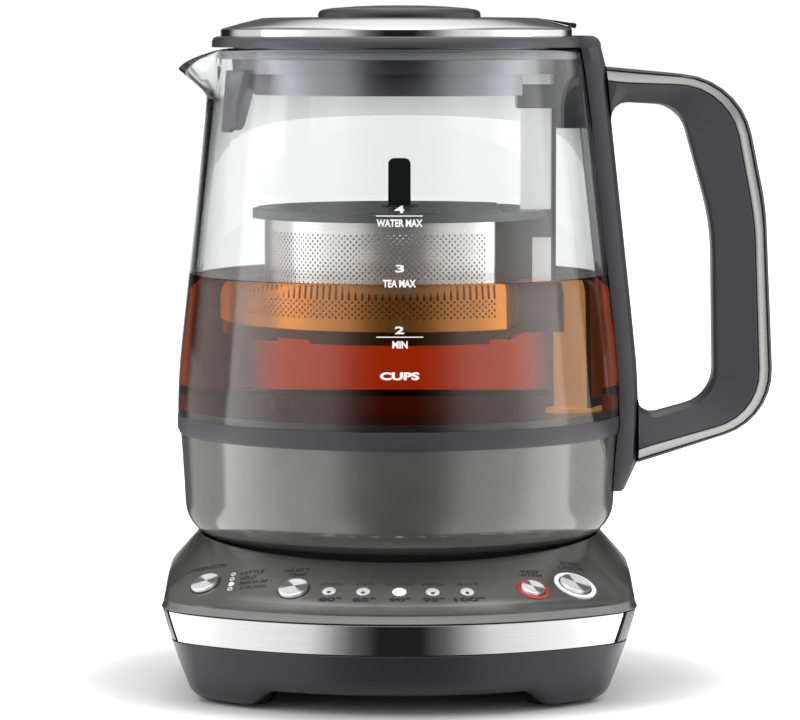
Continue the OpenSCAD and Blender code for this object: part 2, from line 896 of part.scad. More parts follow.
module jug_base_cover() {
    color([0.05, 0.05, 0.06])
        rotate_extrude()
            polygon([
                [cover_hole_r, jug_foot_z],
                [cover_hole_r + 3, jug_foot_z],
                [cover_hole_r + 4, jug_foot_z + 0.8],
                [cover_top_r - 8, jug_foot_z + 0.8],
                [cover_top_r - 6, jug_foot_z],
                [cover_top_r - 3, jug_foot_z],
                [cover_top_r, shell_z - 1],
                [cover_top_r, shell_z + 1.6],
                [cover_top_r - 2, shell_z + 1.6],
                [cover_top_r - 2, shell_z - 2],
                [cover_hole_r + 2, shell_z - 2],
                [cover_hole_r + 2, socket_top - 1.3],
                [cover_hole_r, socket_top - 1.3]
            ]);
}

// ---- Handle ----

// Outer face of the spine
function spine_x(z) = glass_r(max(z, seam_top)) + spine_t - 0.15 * max(0, z - arm_top);

spine_foot_z = shell_z + 15.2;
arm_top = glass_top - arm_drop;
arm_under = arm_top - arm_h;
low_arm_top = seam_top - 1.8;
low_arm_foot = seam_top - 15.9;
spine_gap = 0.3;
head_x = 56.3;
head_z = glass_top + 0.4;
head_h = lid_band_h + 0.2;
head_back = spine_x(head_z);
head_round = 3.4;

// Section of the spine at one height: hollow where it hugs the jug, rounded outside
function spine_section(z, inner, outer, half_w) =
    let (a = asin(half_w / inner), edge = inner * cos(a))
    concat(
        [for (i = [0:6]) let (t = a - 2 * a * i / 6) [inner * cos(t), inner * sin(t), z]],
        [
            [edge + (outer - edge) * 0.35, -half_w, z],
            [edge + (outer - edge) * 0.75, -half_w * 0.9, z],
            [outer - 0.6, -half_w * 0.62, z],
            [outer, -half_w * 0.4, z],
            [outer, half_w * 0.4, z],
            [outer - 0.6, half_w * 0.62, z],
            [edge + (outer - edge) * 0.75, half_w * 0.9, z],
            [edge + (outer - edge) * 0.35, half_w, z]
        ]
    );

// Section of the spine's head: flat towards the lid
function head_section(z, back) =
    concat(
        [for (i = [0:6]) [head_x, head_half_w * (1 - i / 3), z]],
        [
            [head_x + (back - head_x) * 0.5, -head_half_w, z],
            [head_x + (back - head_x) * 0.8, -head_half_w * 0.93, z],
            [back - 0.6, -head_half_w * 0.62, z],
            [back, -head_half_w * 0.4, z],
            [back, head_half_w * 0.4, z],
            [back - 0.6, head_half_w * 0.62, z],
            [head_x + (back - head_x) * 0.8, head_half_w * 0.93, z],
            [head_x + (back - head_x) * 0.5, head_half_w, z]
        ]
    );

function spine_half(z) =
    z > glass_top - 12 ? spine_half_w + (head_half_w - spine_half_w) * min(1, (z - glass_top + 12) / 12) :
    z < seam_top ? spine_half_w - 2 * (seam_top - z) / (seam_top - spine_foot_z) : spine_half_w;

module spine() {
    flat_x = spine_x(low_arm_top);
    ring_inner = glass_foot_r + 0.1 + spine_gap;
    levels = concat(
        [for (i = [0:3]) seam_top + 6 * i],
        [for (i = [1:6]) seam_top + 18 + (arm_top - seam_top - 18) * i / 6],
        [head_z]
    );
    foot = spine_foot_z;
    arm = low_arm_foot;
    ring_z = shell_top;
    color([0.24, 0.24, 0.27])
        loft(concat(
            [
                spine_section(foot, shell_r(foot) + spine_gap, flat_x - 4.4, spine_half(foot)),
                spine_section(arm - 1, shell_r(arm) + spine_gap, flat_x - 0.7, spine_half(arm)),
                spine_section(arm, shell_r(arm) + spine_gap, flat_x, spine_half(arm)),
                spine_section(ring_z - 0.5, shell_r(ring_z) + 0.3 + spine_gap, flat_x, spine_half(ring_z)),
                spine_section(ring_z + 1.5, ring_inner, flat_x, spine_half(ring_z)),
                spine_section(seam_top - 0.5, ring_inner, flat_x, spine_half_w)
            ],
            [for (z = levels) spine_section(z, glass_r(z) + spine_gap, spine_x(z), spine_half(z))],
            [head_section(head_z + 0.02, head_back)],
            [for (a = [0:18:90]) head_section(head_z + head_h - head_round * (1 - sin(a)),
                head_back - head_round * (1 - cos(a)))]
        ));
}

// Outlines of the handle in the X-Z plane, from the upper arm round to the lower arm
fillet_r = 5;
fillet_steps = 4;
fillet_reach = 7;
outer_corners = [
    [spine_x(arm_top), arm_top, 0],
    [handle_reach - 11.5, arm_top - 4.2, 25],
    [handle_reach - 3.1, seam_top + 68, 90],
    [handle_reach, seam_top - 1.6, 22],
    [spine_x(low_arm_top), low_arm_foot, 0]
];
inner_corners = [
    [spine_x(arm_under), arm_under, fillet_r],
    [handle_reach - 31.2, arm_under - 1.3, 12],
    [handle_reach - grip_t - 0.8, seam_top + 62, 80],
    [handle_reach - grip_t + 0.1, seam_top + 5.2, 12],
    [spine_x(low_arm_top), low_arm_top, fillet_r]
];

function xz(p) = [p[0], p[1]];

function along(from, to, n) = [for (i = [0:n]) from + (to - from) * i / n];

function arcs(corners, steps) =
    [for (i = [1:len(corners) - 2])
        each corner_points(corners[i - 1], corners[i], corners[i + 1], corners[i][2], steps)];

// End of an outline at the spine: straight on the outside, filleted on the inside
function outer_end(at, next) = along(xz(at), xz(at) + fillet_reach * unit(xz(next) - xz(at)), fillet_steps);

function inner_end(at, next, rise) =
    corner_points([spine_x(at[1] + rise), at[1] + rise], at, next, at[2], fillet_steps);

outer_path = concat(
    outer_end(outer_corners[0], outer_corners[1]),
    arcs(outer_corners, 7),
    reversed(outer_end(outer_corners[4], outer_corners[3]))
);
inner_path = concat(
    inner_end(inner_corners[0], inner_corners[1], -fillet_reach),
    arcs(inner_corners, 7),
    reversed(inner_end(inner_corners[4], inner_corners[3], fillet_reach))
);

function reversed(list) = [for (i = [len(list) - 1:-1:0]) list[i]];

// One section of the handle between two depths, measured in from its outer face
function handle_section(i, from, to, w_out, w_in, round_out, round_in) =
    let (
        o = outer_path[i],
        n = inner_path[i],
        depth = norm(n - o),
        d = (n - o) / depth,
        f = min(from, depth - 1),
        t = to == 0 ? depth : to,
        at = function(s, y) [o[0] + d[0] * s, y, o[1] + d[1] * s]
    )
    [
        at(f, w_out / 2 - round_out), at(f + round_out * 0.3, w_out / 2 - round_out * 0.3),
        at(f + round_out, w_out / 2),
        at(t - round_in, w_in / 2), at(t - round_in * 0.3, w_in / 2 - round_in * 0.3),
        at(t, w_in / 2 - round_in),
        at(t, -w_in / 2 + round_in), at(t - round_in * 0.3, -w_in / 2 + round_in * 0.3),
        at(t - round_in, -w_in / 2),
        at(f + round_out, -w_out / 2), at(f + round_out * 0.3, -w_out / 2 + round_out * 0.3),
        at(f, -w_out / 2 + round_out)
    ];

handle_stations = [for (i = [0:len(outer_path) - 1]) i];

module handle_grip() {
    color([0.26, 0.26, 0.29])
        loft([for (i = handle_stations)
            handle_section(i, cap_t + fit, 0, grip_w - 0.4, grip_w - 6, 0.6, 3.2)]);
}

strip_t = 1;

module handle_cap() {
    color([0.55, 0.54, 0.52])
        loft([for (i = handle_stations) handle_section(i, strip_t, cap_t, grip_w - 3, grip_w, 2, 0.3)]);
}

module handle_strip() {
    color([0.16, 0.16, 0.18])
        loft([for (i = handle_stations)
            handle_section(i, 0, strip_t - fit, grip_w - 8, grip_w - 7, 0.3, 0.2)]);
}

// ---- Post ----

post_z = plate_top;
post_top = glass_top - 13;
socket_h = 6.5;
post_steel = 1;
strip_w = 1.5;

module basket_post() {
    color([0.82, 0.82, 0.83])
        translate([post_centre_x, 0, post_z])
            difference() {
                union() {
                    linear_extrude(post_top - post_z)
                        rounded_bar(post_w, post_d, 1.5);
                    cylinder(r = 8, h = 1.2);
                }
                translate([0, 0, 1.2])
                    linear_extrude(post_top - post_z)
                        rounded_bar(post_w - 2 * post_steel, post_d - 2 * post_steel, 0.8);
            }
}

module post_strip() {
    color([0.3, 0.31, 0.32])
        translate([post_x + post_w + fit, -post_d / 2 + 1, post_z + 1.3])
            cube([strip_w, post_d - 2, post_top - post_z - 1.4 - socket_h]);
}

bracket_half_w = 9.5;
bracket_arm_x = post_x + post_w + 0.6;

module post_bracket() {
    color([0.35, 0.36, 0.38])
        difference() {
            rotate([90, 0, 0])
                translate([0, 0, -bracket_half_w])
                    linear_extrude(2 * bracket_half_w)
                        polygon([
                            [post_x - 1.4, post_top - socket_h],
                            [post_x + post_w + 2, post_top - socket_h],
                            [post_x + post_w + 2, post_top - 2 * socket_h],
                            [glass_foot_r, post_top - 2 * socket_h],
                            [glass_foot_r, head_z],
                            [bracket_arm_x, head_z],
                            [bracket_arm_x, post_top + 1.2],
                            [post_x - 1.4, post_top + 1.2]
                        ]);
            translate([post_centre_x, 0, post_top - socket_h - e])
                linear_extrude(socket_h + e + fit)
                    rounded_bar(post_w + 2 * fit, post_d + 2 * fit, 1.5);
            difference() {
                translate([0, 0, post_top - 20])
                    cylinder(r = 2 * glass_foot_r, h = 60);
                rotate_extrude()
                    polygon([
                        [0, post_top - 21],
                        [glass_r(post_top - 21) - glass_wall - seat, post_top - 21],
                        [glass_r(glass_top + 1) - glass_wall - seat, glass_top + 1],
                        [0, glass_top + 1]
                    ]);
            }
        }
}

// ---- Lift magnet inside the post, coupled to the basket's magnet ----

magnet_h = 12;

module lift_magnet() {
    color([0.4, 0.4, 0.42])
        translate([post_centre_x, 0, basket_rim_top - magnet_h])
            linear_extrude(magnet_h)
                rounded_bar(post_w - 2 * post_steel - 0.8, post_d - 2 * post_steel - 0.8, 0.6);
}

// ---- Lid ----

band_bottom = glass_top + 0.4;
band_top = band_bottom + lid_band_h;
notch_x = head_x - seat - 0.1;
notch_half_w = head_half_w + seat;
collar_top = band_bottom + 1.6;

// Room for the spine's head and the post's bracket
module lid_notch(low, high) {
    translate([notch_x, -notch_half_w, low])
        cube([20, 2 * notch_half_w, high - low]);
}

module bracket_notch(low, high) {
    translate([bracket_arm_x - seat - 0.2, -bracket_half_w - 0.5, low])
        cube([30, 2 * bracket_half_w + 1, high - low]);
}

module lid_band() {
    color([0.3, 0.3, 0.33])
        difference() {
            rotate_extrude()
                polygon([
                    [cap_r - 4, band_bottom],
                    [lid_band_r, band_bottom],
                    [lid_band_r, band_top - 1.6],
                    [lid_band_r - 0.6, band_top - 0.5],
                    [lid_band_r - 1.8, band_top],
                    [cap_r + fit, band_top],
                    [cap_r + fit, band_top - 1],
                    [cap_r - 4, band_top - 1]
                ]);
            lid_notch(band_bottom - 1, band_top + 1);
        }
}

cap_t_metal = 0.8;
cap_profile = [[0, 0], [0, 2.1], [0.6, 2.5], [7, 4.3], [13.6, 5.9], [18, 6.1], [28, 6.2]];

function cap_outline(drop) = [for (p = cap_profile) [
    cap_r - p[0] - (p[0] == 0 ? drop : 0),
    band_top - 1 + (p[1] == 0 ? 0 : p[1] * cap_rise / 6.2 + 1 - drop)
]];

module lid_cap() {
    top = cap_outline(0);
    under = cap_outline(cap_t_metal);
    color([0.8, 0.8, 0.81])
        difference() {
            rotate_extrude()
                polygon(concat(top, [[3, band_top + cap_rise]], [[3, band_top + cap_rise - cap_t_metal]],
                    [for (i = [len(under) - 1:-1:0]) under[i]]));
            lid_notch(band_top - 2, band_top + cap_rise + 1);
        }
}

module lid_collar() {
    skirt_z = glass_top - skirt_depth;
    step_z = glass_top - 8.2;
    color([0.62, 0.62, 0.65, 0.9]) {
        difference() {
            union() {
                rotate_extrude()
                    polygon([
                        [0, collar_top - 2],
                        [skirt_r - 2, collar_top - 2],
                        [skirt_r - 2, step_z],
                        [skirt_r + 4, step_z],
                        [skirt_r + 4.4, step_z + 4.6],
                        [skirt_r + 2.4, step_z + 4.6],
                        [skirt_r + 2.4, step_z + 6.8],
                        [cap_r - 4 - fit, step_z + 6.8],
                        [cap_r - 4 - fit, collar_top],
                        [0, collar_top]
                    ]);
                difference() {
                    ring(skirt_r, skirt_r - 2, skirt_z, step_z - skirt_z + e);
                    translate([post_x - 0.8, -skirt_r, skirt_z - 1])
                        cube([40, 2 * skirt_r, step_z - skirt_z + 1]);
                    spout_gap(skirt_z - 1, step_z - skirt_z + 1);
                }
                spout_guard(step_z);
            }
            bracket_notch(skirt_z - 1, collar_top + 1);
            translate([0, 0, collar_top - 3])
                cylinder(r = 1.5, h = 4);
        }
    }
}

guard_depth = 19;

// Part of the skirt left away behind the spout
module spout_gap(z, h) {
    rotate([90, 0, 0])
        linear_extrude(4 * skirt_r, center = true)
            polygon([
                [-skirt_r - 5, z],
                [-skirt_r + 5.2, z],
                [-skirt_r + 2.6, z + 0.4 * h],
                [-skirt_r + 0.8, z + 0.75 * h],
                [-skirt_r, z + h],
                [-skirt_r - 5, z + h]
            ]);
}

// Curved guard that hangs behind the spout
module spout_guard(top) {
    intersection() {
        rotate([0, 0, 180 - 32])
            rotate_extrude(angle = 64)
                polygon([
                    [skirt_r + 1.4, top],
                    [skirt_r + 4.6, top],
                    [skirt_r + 6.3, top - guard_depth],
                    [skirt_r + 7.9, top - guard_depth],
                    [skirt_r + 6.2, top + 1],
                    [skirt_r + 1.4, top + 1]
                ]);
        rotate([90, 0, -90])
            linear_extrude(2 * skirt_r)
                polygon(round_path([
                    [-29, top + 2, 0],
                    [29, top + 2, 0],
                    [21.5, top - guard_depth, 4],
                    [-21.5, top - guard_depth, 4]
                ], 5));
    }
}

module lid_seal() {
    low = glass_top - 8.2 + 4.7;
    color([0.8, 0.8, 0.82])
        difference() {
            rotate_extrude()
                polygon([
                    [skirt_r + 2.5, low],
                    [glass_r(low) - glass_wall - 1.2, low],
                    [glass_r(low) - glass_wall - 0.5, low + 1],
                    [glass_r(low) - glass_wall - 1.2, low + 2],
                    [skirt_r + 2.5, low + 2]
                ]);
            bracket_notch(low - 1, low + 4);
        }
}

knob_z = band_top + cap_rise;

module lid_knob() {
    color([0.14, 0.14, 0.15])
        difference() {
            rotate_extrude()
                polygon([
                    [0, knob_z],
                    [knob_r - 3, knob_z],
                    [knob_r - 3, knob_z + 0.5],
                    [knob_r - 0.4, knob_z + 0.5],
                    [knob_r, knob_z + 1],
                    [knob_r - 0.2, knob_z + knob_h - 2.4],
                    [knob_r - 1.2, knob_z + knob_h - 1.5],
                    [knob_r - 3.5, knob_z + knob_h - 0.9],
                    [knob_r * 0.6, knob_z + knob_h - 0.3],
                    [knob_r * 0.3, knob_z + knob_h - 0.05],
                    [0, knob_z + knob_h]
                ]);
            translate([0, 0, knob_z - e])
                cylinder(r = 1.6, h = 2.6);
        }
}

module knob_screw() {
    color([0.6, 0.6, 0.6]) {
        translate([0, 0, collar_top - 3.4])
            cylinder(r = 3, h = 1.3);
        translate([0, 0, collar_top - 2.2])
            cylinder(r = 1.4, h = knob_z - collar_top + 4.2);
    }
}

tab_half_w = 7;

module lid_tab() {
    color([0.85, 0.85, 0.86])
        rotate([90, 0, 0])
            translate([0, 0, -tab_half_w])
                linear_extrude(2 * tab_half_w)
                    polygon([
                        [cap_r - 13.6, band_top + cap_rise * 0.95 + 0.05],
                        [cap_r - 7, band_top + cap_rise * 4.3 / 6.2 + 0.05],
                        [notch_x - 0.6, band_top + cap_rise * 0.55],
                        [notch_x - 0.6, band_top + cap_rise * 0.72],
                        [cap_r - 15, band_top + cap_rise]
                    ]);
}

module lid_tab_tip() {
    color([0.05, 0.05, 0.05])
        rotate([90, 0, 0])
            translate([0, 0, -tab_half_w])
                linear_extrude(2 * tab_half_w)
                    polygon(round_path([
                        [notch_x - 0.55, band_top + cap_rise * 0.56, 0],
                        [notch_x + 1.9, band_top + cap_rise * 0.36, 0.6],
                        [notch_x + 1.9, band_top + cap_rise * 0.68, 0.6],
                        [notch_x - 0.55, band_top + cap_rise * 0.72, 0]
                    ], 3));
}

// ---- Leaf basket ----

// D-shaped outline: a circle with a flat side towards the post
module d_shape(r, flat_x) {
    intersection() {
        circle(r);
        translate([-2 * r, -2 * r])
            square([2 * r + flat_x, 4 * r]);
    }
}

module d_wall(r, flat_x, t, z, h) {
    translate([0, 0, z])
        linear_extrude(h)
            difference() {
                d_shape(r, flat_x);
                d_shape(r - t, flat_x - t);
            }
}

arm_y = post_d / 2 + slide_gap;
clip_t = 2.4;
clip_h = 9.2;
web_x = drum_flat_x + 0.5;

module basket_frame() {
    ring_inner = drum_r - drum_t - 0.6;
    color([0.33, 0.34, 0.35])
        difference() {
            union() {
                translate([0, 0, basket_rim_z])
                    linear_extrude(basket_rim_h)
                        difference() {
                            circle(basket_rim_r);
                            d_shape(ring_inner, drum_flat_x - drum_t - 0.6);
                        }
                translate([web_x, -arm_y - clip_t, basket_rim_top - clip_h])
                    cube([post_x + post_w - web_x, 2 * (arm_y + clip_t), clip_h]);
                translate([web_x, -arm_y - clip_t, drum_z - 3])
                    cube([post_x + 3.6 - web_x, 2 * (arm_y + clip_t), basket_rim_z - drum_z + 3 + e]);
            }
            translate([post_x - slide_gap, -arm_y, drum_z - 5])
                cube([post_w + 20, 2 * arm_y, basket_rim_top - drum_z + 10]);
            translate([0, 0, basket_rim_z - 1])
                linear_extrude(2)
                    d_shape(drum_r + 0.1, drum_flat_x + 0.1);
            translate([0, 0, basket_rim_top - 1])
                linear_extrude(2)
                    d_shape(basket_lid_r + seat, drum_flat_x + 2 + seat);
            translate([web_x + 1.6, -6, drum_z + 8])
                cube([4.4, 12, 17]);
        }
}

hole_rows = floor((drum_h - 10) / hole_pitch);
flat_half_angle = acos(drum_flat_x / drum_r);
hole_step = 2 * asin(hole_pitch / 2 / drum_r);
hole_columns = floor((360 - 2 * flat_half_angle - 16) / hole_step);

module basket_drum() {
    color([0.78, 0.78, 0.78])
        difference() {
            union() {
                d_wall(drum_r, drum_flat_x, drum_t, drum_z, drum_h + 0.9);
                d_wall(drum_r, drum_flat_x, 2.4, drum_z, drum_t);
            }
            for (row = [0:hole_rows - 1])
                for (col = [0:hole_columns - 1])
                    rotate([0, 0, 180 + (col - (hole_columns - 1) / 2 + (row % 2) / 2) * hole_step])
                        translate([drum_r - 3, 0, drum_z + 5 + row * hole_pitch])
                            rotate([0, 90, 0])
                                cylinder(r = hole_r, h = 6, $fn = 14);
        }
}

floor_pitch = 9;

module basket_floor() {
    color([0.75, 0.75, 0.75])
        translate([0, 0, drum_z + drum_t])
            linear_extrude(0.8)
                difference() {
                    d_shape(drum_r - drum_t - fit, drum_flat_x - drum_t - fit);
                    for (i = [-4:4])
                        for (j = [-4:4])
                            let (x = floor_pitch * (i + (abs(j) % 2) / 2) - 4, y = floor_pitch * 0.866 * j)
                                if (norm([x, y]) < drum_r - 7 && x < drum_flat_x - 6)
                                    translate([x, y])
                                        circle(1.6, $fn = 14);
                }
}

foot_ring_h = 4.4;

module basket_foot_ring() {
    color([0.2, 0.2, 0.21]) {
        difference() {
            d_wall(drum_r - 0.6, drum_flat_x - 0.6, 3, drum_z - foot_ring_h, foot_ring_h);
            for (a = [90:90:270])
                rotate([0, 0, a + 45])
                    translate([0, -7, drum_z - foot_ring_h - e])
                        cube([60, 14, 1.4]);
        }
    }
}

module basket_magnet() {
    color([0.4, 0.4, 0.42])
        translate([web_x + 1.7, -5.9, drum_z + 8.1])
            cube([4.2, 11.8, 16.8]);
}

basket_lid_r = basket_rim_r - 1.4;
basket_lid_t = 1.4;
basket_lid_z = basket_rim_top - 1 + fit;

module basket_lid() {
    color([0.33, 0.34, 0.35])
        difference() {
            translate([0, 0, basket_lid_z])
                linear_extrude(basket_lid_t)
                    d_shape(basket_lid_r, drum_flat_x + 2);
            for (a = [60:60:300])
                rotate([0, 0, a])
                    translate([24, 0, basket_lid_z - 1])
                        cylinder(r = 2, h = basket_lid_t + 2);
        }
}

tab_w = 7.4;
tab_h = 15.6;
tab_t = 3.2;
tab_corner_r = 2;

module basket_lid_tab() {
    low = basket_lid_z + basket_lid_t;
    color([0.05, 0.05, 0.05])
        union() {
            translate([0, 0, low])
                cylinder(r = 6, h = 0.6);
            rotate([90, 0, 0])
                translate([0, low + 0.3 + tab_h / 2, 0])
                    linear_extrude(tab_t, center = true)
                        rounded_bar(tab_w, tab_h, tab_corner_r);
            translate([-tab_w / 2, -tab_t / 2, low])
                cube([tab_w, tab_t, tab_corner_r + 1]);
        }
}

// ---- Assembly ----

module at_axis() {
    translate([(base_half_w - handle_reach) / 2, (base_front - base_half_w) / 2, 0])
        children();
}

at_axis() base_housing();
at_axis() base_deck();
at_axis() chrome_band();
at_axis() rear_band();
at_axis() well_tray();
at_axis() bottom_cover();
at_axis() rubber_feet();
at_axis() base_screws();
at_axis() cord_gland();
at_axis() control_board();
at_axis() indicator_lights();
at_axis() warm_light_ring();
at_axis() start_light_ring();
at_axis() base_connector();
at_axis() base_contacts();
at_axis() strength_button();
at_axis() temperature_button();
at_axis() warm_button();
at_axis() start_button();
at_axis() jug_socket();
at_axis() socket_contacts();
at_axis() glass_jug();
at_axis() seam_ring();
at_axis() metal_shell();
at_axis() heater_plate();
at_axis() plate_gasket();
at_axis() heating_element();
at_axis() thermostat();
at_axis() lift_motor();
at_axis() jug_base_cover();
at_axis() spine();
at_axis() handle_grip();
at_axis() handle_cap();
at_axis() handle_strip();
at_axis() basket_post();
at_axis() post_strip();
at_axis() post_bracket();
at_axis() lift_magnet();
at_axis() lid_band();
at_axis() lid_cap();
at_axis() lid_collar();
at_axis() lid_seal();
at_axis() lid_knob();
at_axis() knob_screw();
at_axis() lid_tab();
at_axis() lid_tab_tip();
at_axis() basket_frame();
at_axis() basket_drum();
at_axis() basket_floor();
at_axis() basket_foot_ring();
at_axis() basket_magnet();
at_axis() basket_lid();
at_axis() basket_lid_tab();
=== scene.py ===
import json
import math

import bmesh
import bpy
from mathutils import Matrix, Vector

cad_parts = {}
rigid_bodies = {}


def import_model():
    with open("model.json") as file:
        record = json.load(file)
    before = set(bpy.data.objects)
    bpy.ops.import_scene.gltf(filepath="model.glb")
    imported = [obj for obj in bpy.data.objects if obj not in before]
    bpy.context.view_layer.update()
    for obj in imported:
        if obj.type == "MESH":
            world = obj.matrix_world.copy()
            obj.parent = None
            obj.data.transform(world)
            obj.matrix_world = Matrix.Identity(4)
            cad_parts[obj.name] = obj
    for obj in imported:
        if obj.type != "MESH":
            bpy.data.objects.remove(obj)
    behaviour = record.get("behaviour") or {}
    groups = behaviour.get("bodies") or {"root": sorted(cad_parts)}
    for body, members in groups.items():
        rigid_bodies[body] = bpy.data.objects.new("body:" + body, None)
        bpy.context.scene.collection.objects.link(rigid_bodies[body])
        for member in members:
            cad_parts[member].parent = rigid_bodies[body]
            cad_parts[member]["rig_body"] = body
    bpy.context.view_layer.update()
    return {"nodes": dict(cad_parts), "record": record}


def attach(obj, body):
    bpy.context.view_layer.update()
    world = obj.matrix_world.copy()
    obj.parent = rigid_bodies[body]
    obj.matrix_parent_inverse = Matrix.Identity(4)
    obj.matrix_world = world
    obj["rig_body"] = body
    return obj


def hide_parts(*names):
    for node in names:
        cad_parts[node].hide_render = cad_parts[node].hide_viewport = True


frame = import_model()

# Construction sizes in millimetres, about the jug's axis, as in the part's source
AXIS_X, AXIS_Y = -23.5, 9.5

# Jug: glass, tea and plate
SEAM_TOP = 87.8
PLATE_TOP = 88.6
GLASS_TOP = 207.5
FOOT_R = 73.1
BELLY_H = 24
TAPER = 6.2
WALL = 2.4
TEA_TOP = 133.4
TEA_GAP = 0.5

# Spout: half its width in degrees, its dip, and the height from which the rim bends down to it
SPOUT_HALF = 21
SPOUT_DIP = 6.3
SPOUT_FROM = 180

# Drum: a cylinder with a flat side towards the post
DRUM_R = 44.4
DRUM_X = 30.8
DRUM_LOW = 117.0
DRUM_HIGH = 152.2
HOLE_ROWS = 28
HOLES_LOW = 120.9
HOLES_HIGH = 148.4
HOLE_PITCH = 2.0
HOLE_R = 0.43
DRUM_SHEET = 0.5

# Base: outline, housing, bands, deck and well
BASE_HALF_W = 76
FRONT_R = 100
CORNER_R = 25
FRONT_Y, CORNER_X = 5.0, 51.0
HOUSING_TOP = 31.2
SKIRT = 1.0
HOUSING_EDGE = 3.6
ARCH_RISE = 5.4
BAND_LOW = 20.0
BAND_HIGH = 29.8
LIP_Z = 32.6
RIM_R = 66.3
WELL_R = 65.0
WELL_FLOOR = 39.5

# Controls: places on the deck's plan, and radii
STRENGTH_SPOT = (-61.5, -59.3)
TEMPERATURE_SPOT = (-33.1, -75.9)
WARM_SPOT = (41.9, -72.7)
START_SPOT = (55.6, -63.7)
TEMPERATURE_LIGHTS = [(-22.0, -79.6), (-11.3, -81.4), (0.0, -82.2), (10.4, -81.7), (21.2, -80.1)]
STRENGTH_LIGHTS = [(-52.6, -59.1), (-52.9, -61.8), (-53.1, -64.6), (-53.4, -67.1)]
LIT_LIGHTS = (TEMPERATURE_LIGHTS[2], STRENGTH_LIGHTS[2])
TEMPERATURE_LIGHT_R = 2.2
STRENGTH_LIGHT_R = 0.95

# Camera: the photo's width and focal length in pixels, its place in metres and how far it looks down
PHOTO_WIDTH = 800
PHOTO_FOCAL = 4255
SENSOR = 36
CAMERA_AT = (-0.0233, -1.3905, 0.2145)
CAMERA_DOWN = 4.475


def place(x, y, z):
    """A construction point in the frame's metres."""
    return Vector(((x + AXIS_X) / 1000, (y + AXIS_Y) / 1000, z / 1000))


def sind(a):
    return math.sin(math.radians(a))


def cosd(a):
    return math.cos(math.radians(a))


def round_point(a, r, z):
    """A point at an angle and a radius about the jug's axis."""
    return place(r * cosd(a), r * sind(a), z)


def ease(t):
    t = max(0.0, min(1.0, t))
    return t * t * (3 - 2 * t)


# ---- Camera and lamps ----

def make_camera():
    data = bpy.data.cameras.new("camera")
    cam = bpy.data.objects.new("camera", data)
    bpy.context.scene.collection.objects.link(cam)
    data.sensor_width = SENSOR
    data.lens = SENSOR * PHOTO_FOCAL / PHOTO_WIDTH
    data.clip_start, data.clip_end = 0.05, 20
    cam.location = CAMERA_AT
    cam.rotation_euler = (math.radians(90 - CAMERA_DOWN), 0, 0)
    bpy.context.scene.camera = cam


def area_light(name, at, aim, size_x, size_y, power):
    """A lamp for diffuse light only: gloss and glass show the studio instead."""
    data = bpy.data.lights.new(name, "AREA")
    data.shape = "RECTANGLE"
    data.size, data.size_y = size_x, size_y
    data.energy = power
    lamp = bpy.data.objects.new(name, data)
    bpy.context.scene.collection.objects.link(lamp)
    lamp.location = at
    lamp.rotation_euler = (Vector(aim) - Vector(at)).to_track_quat("-Z", "Y").to_euler()
    lamp.visible_glossy = False
    lamp.visible_transmission = False


# ---- Node helpers ----

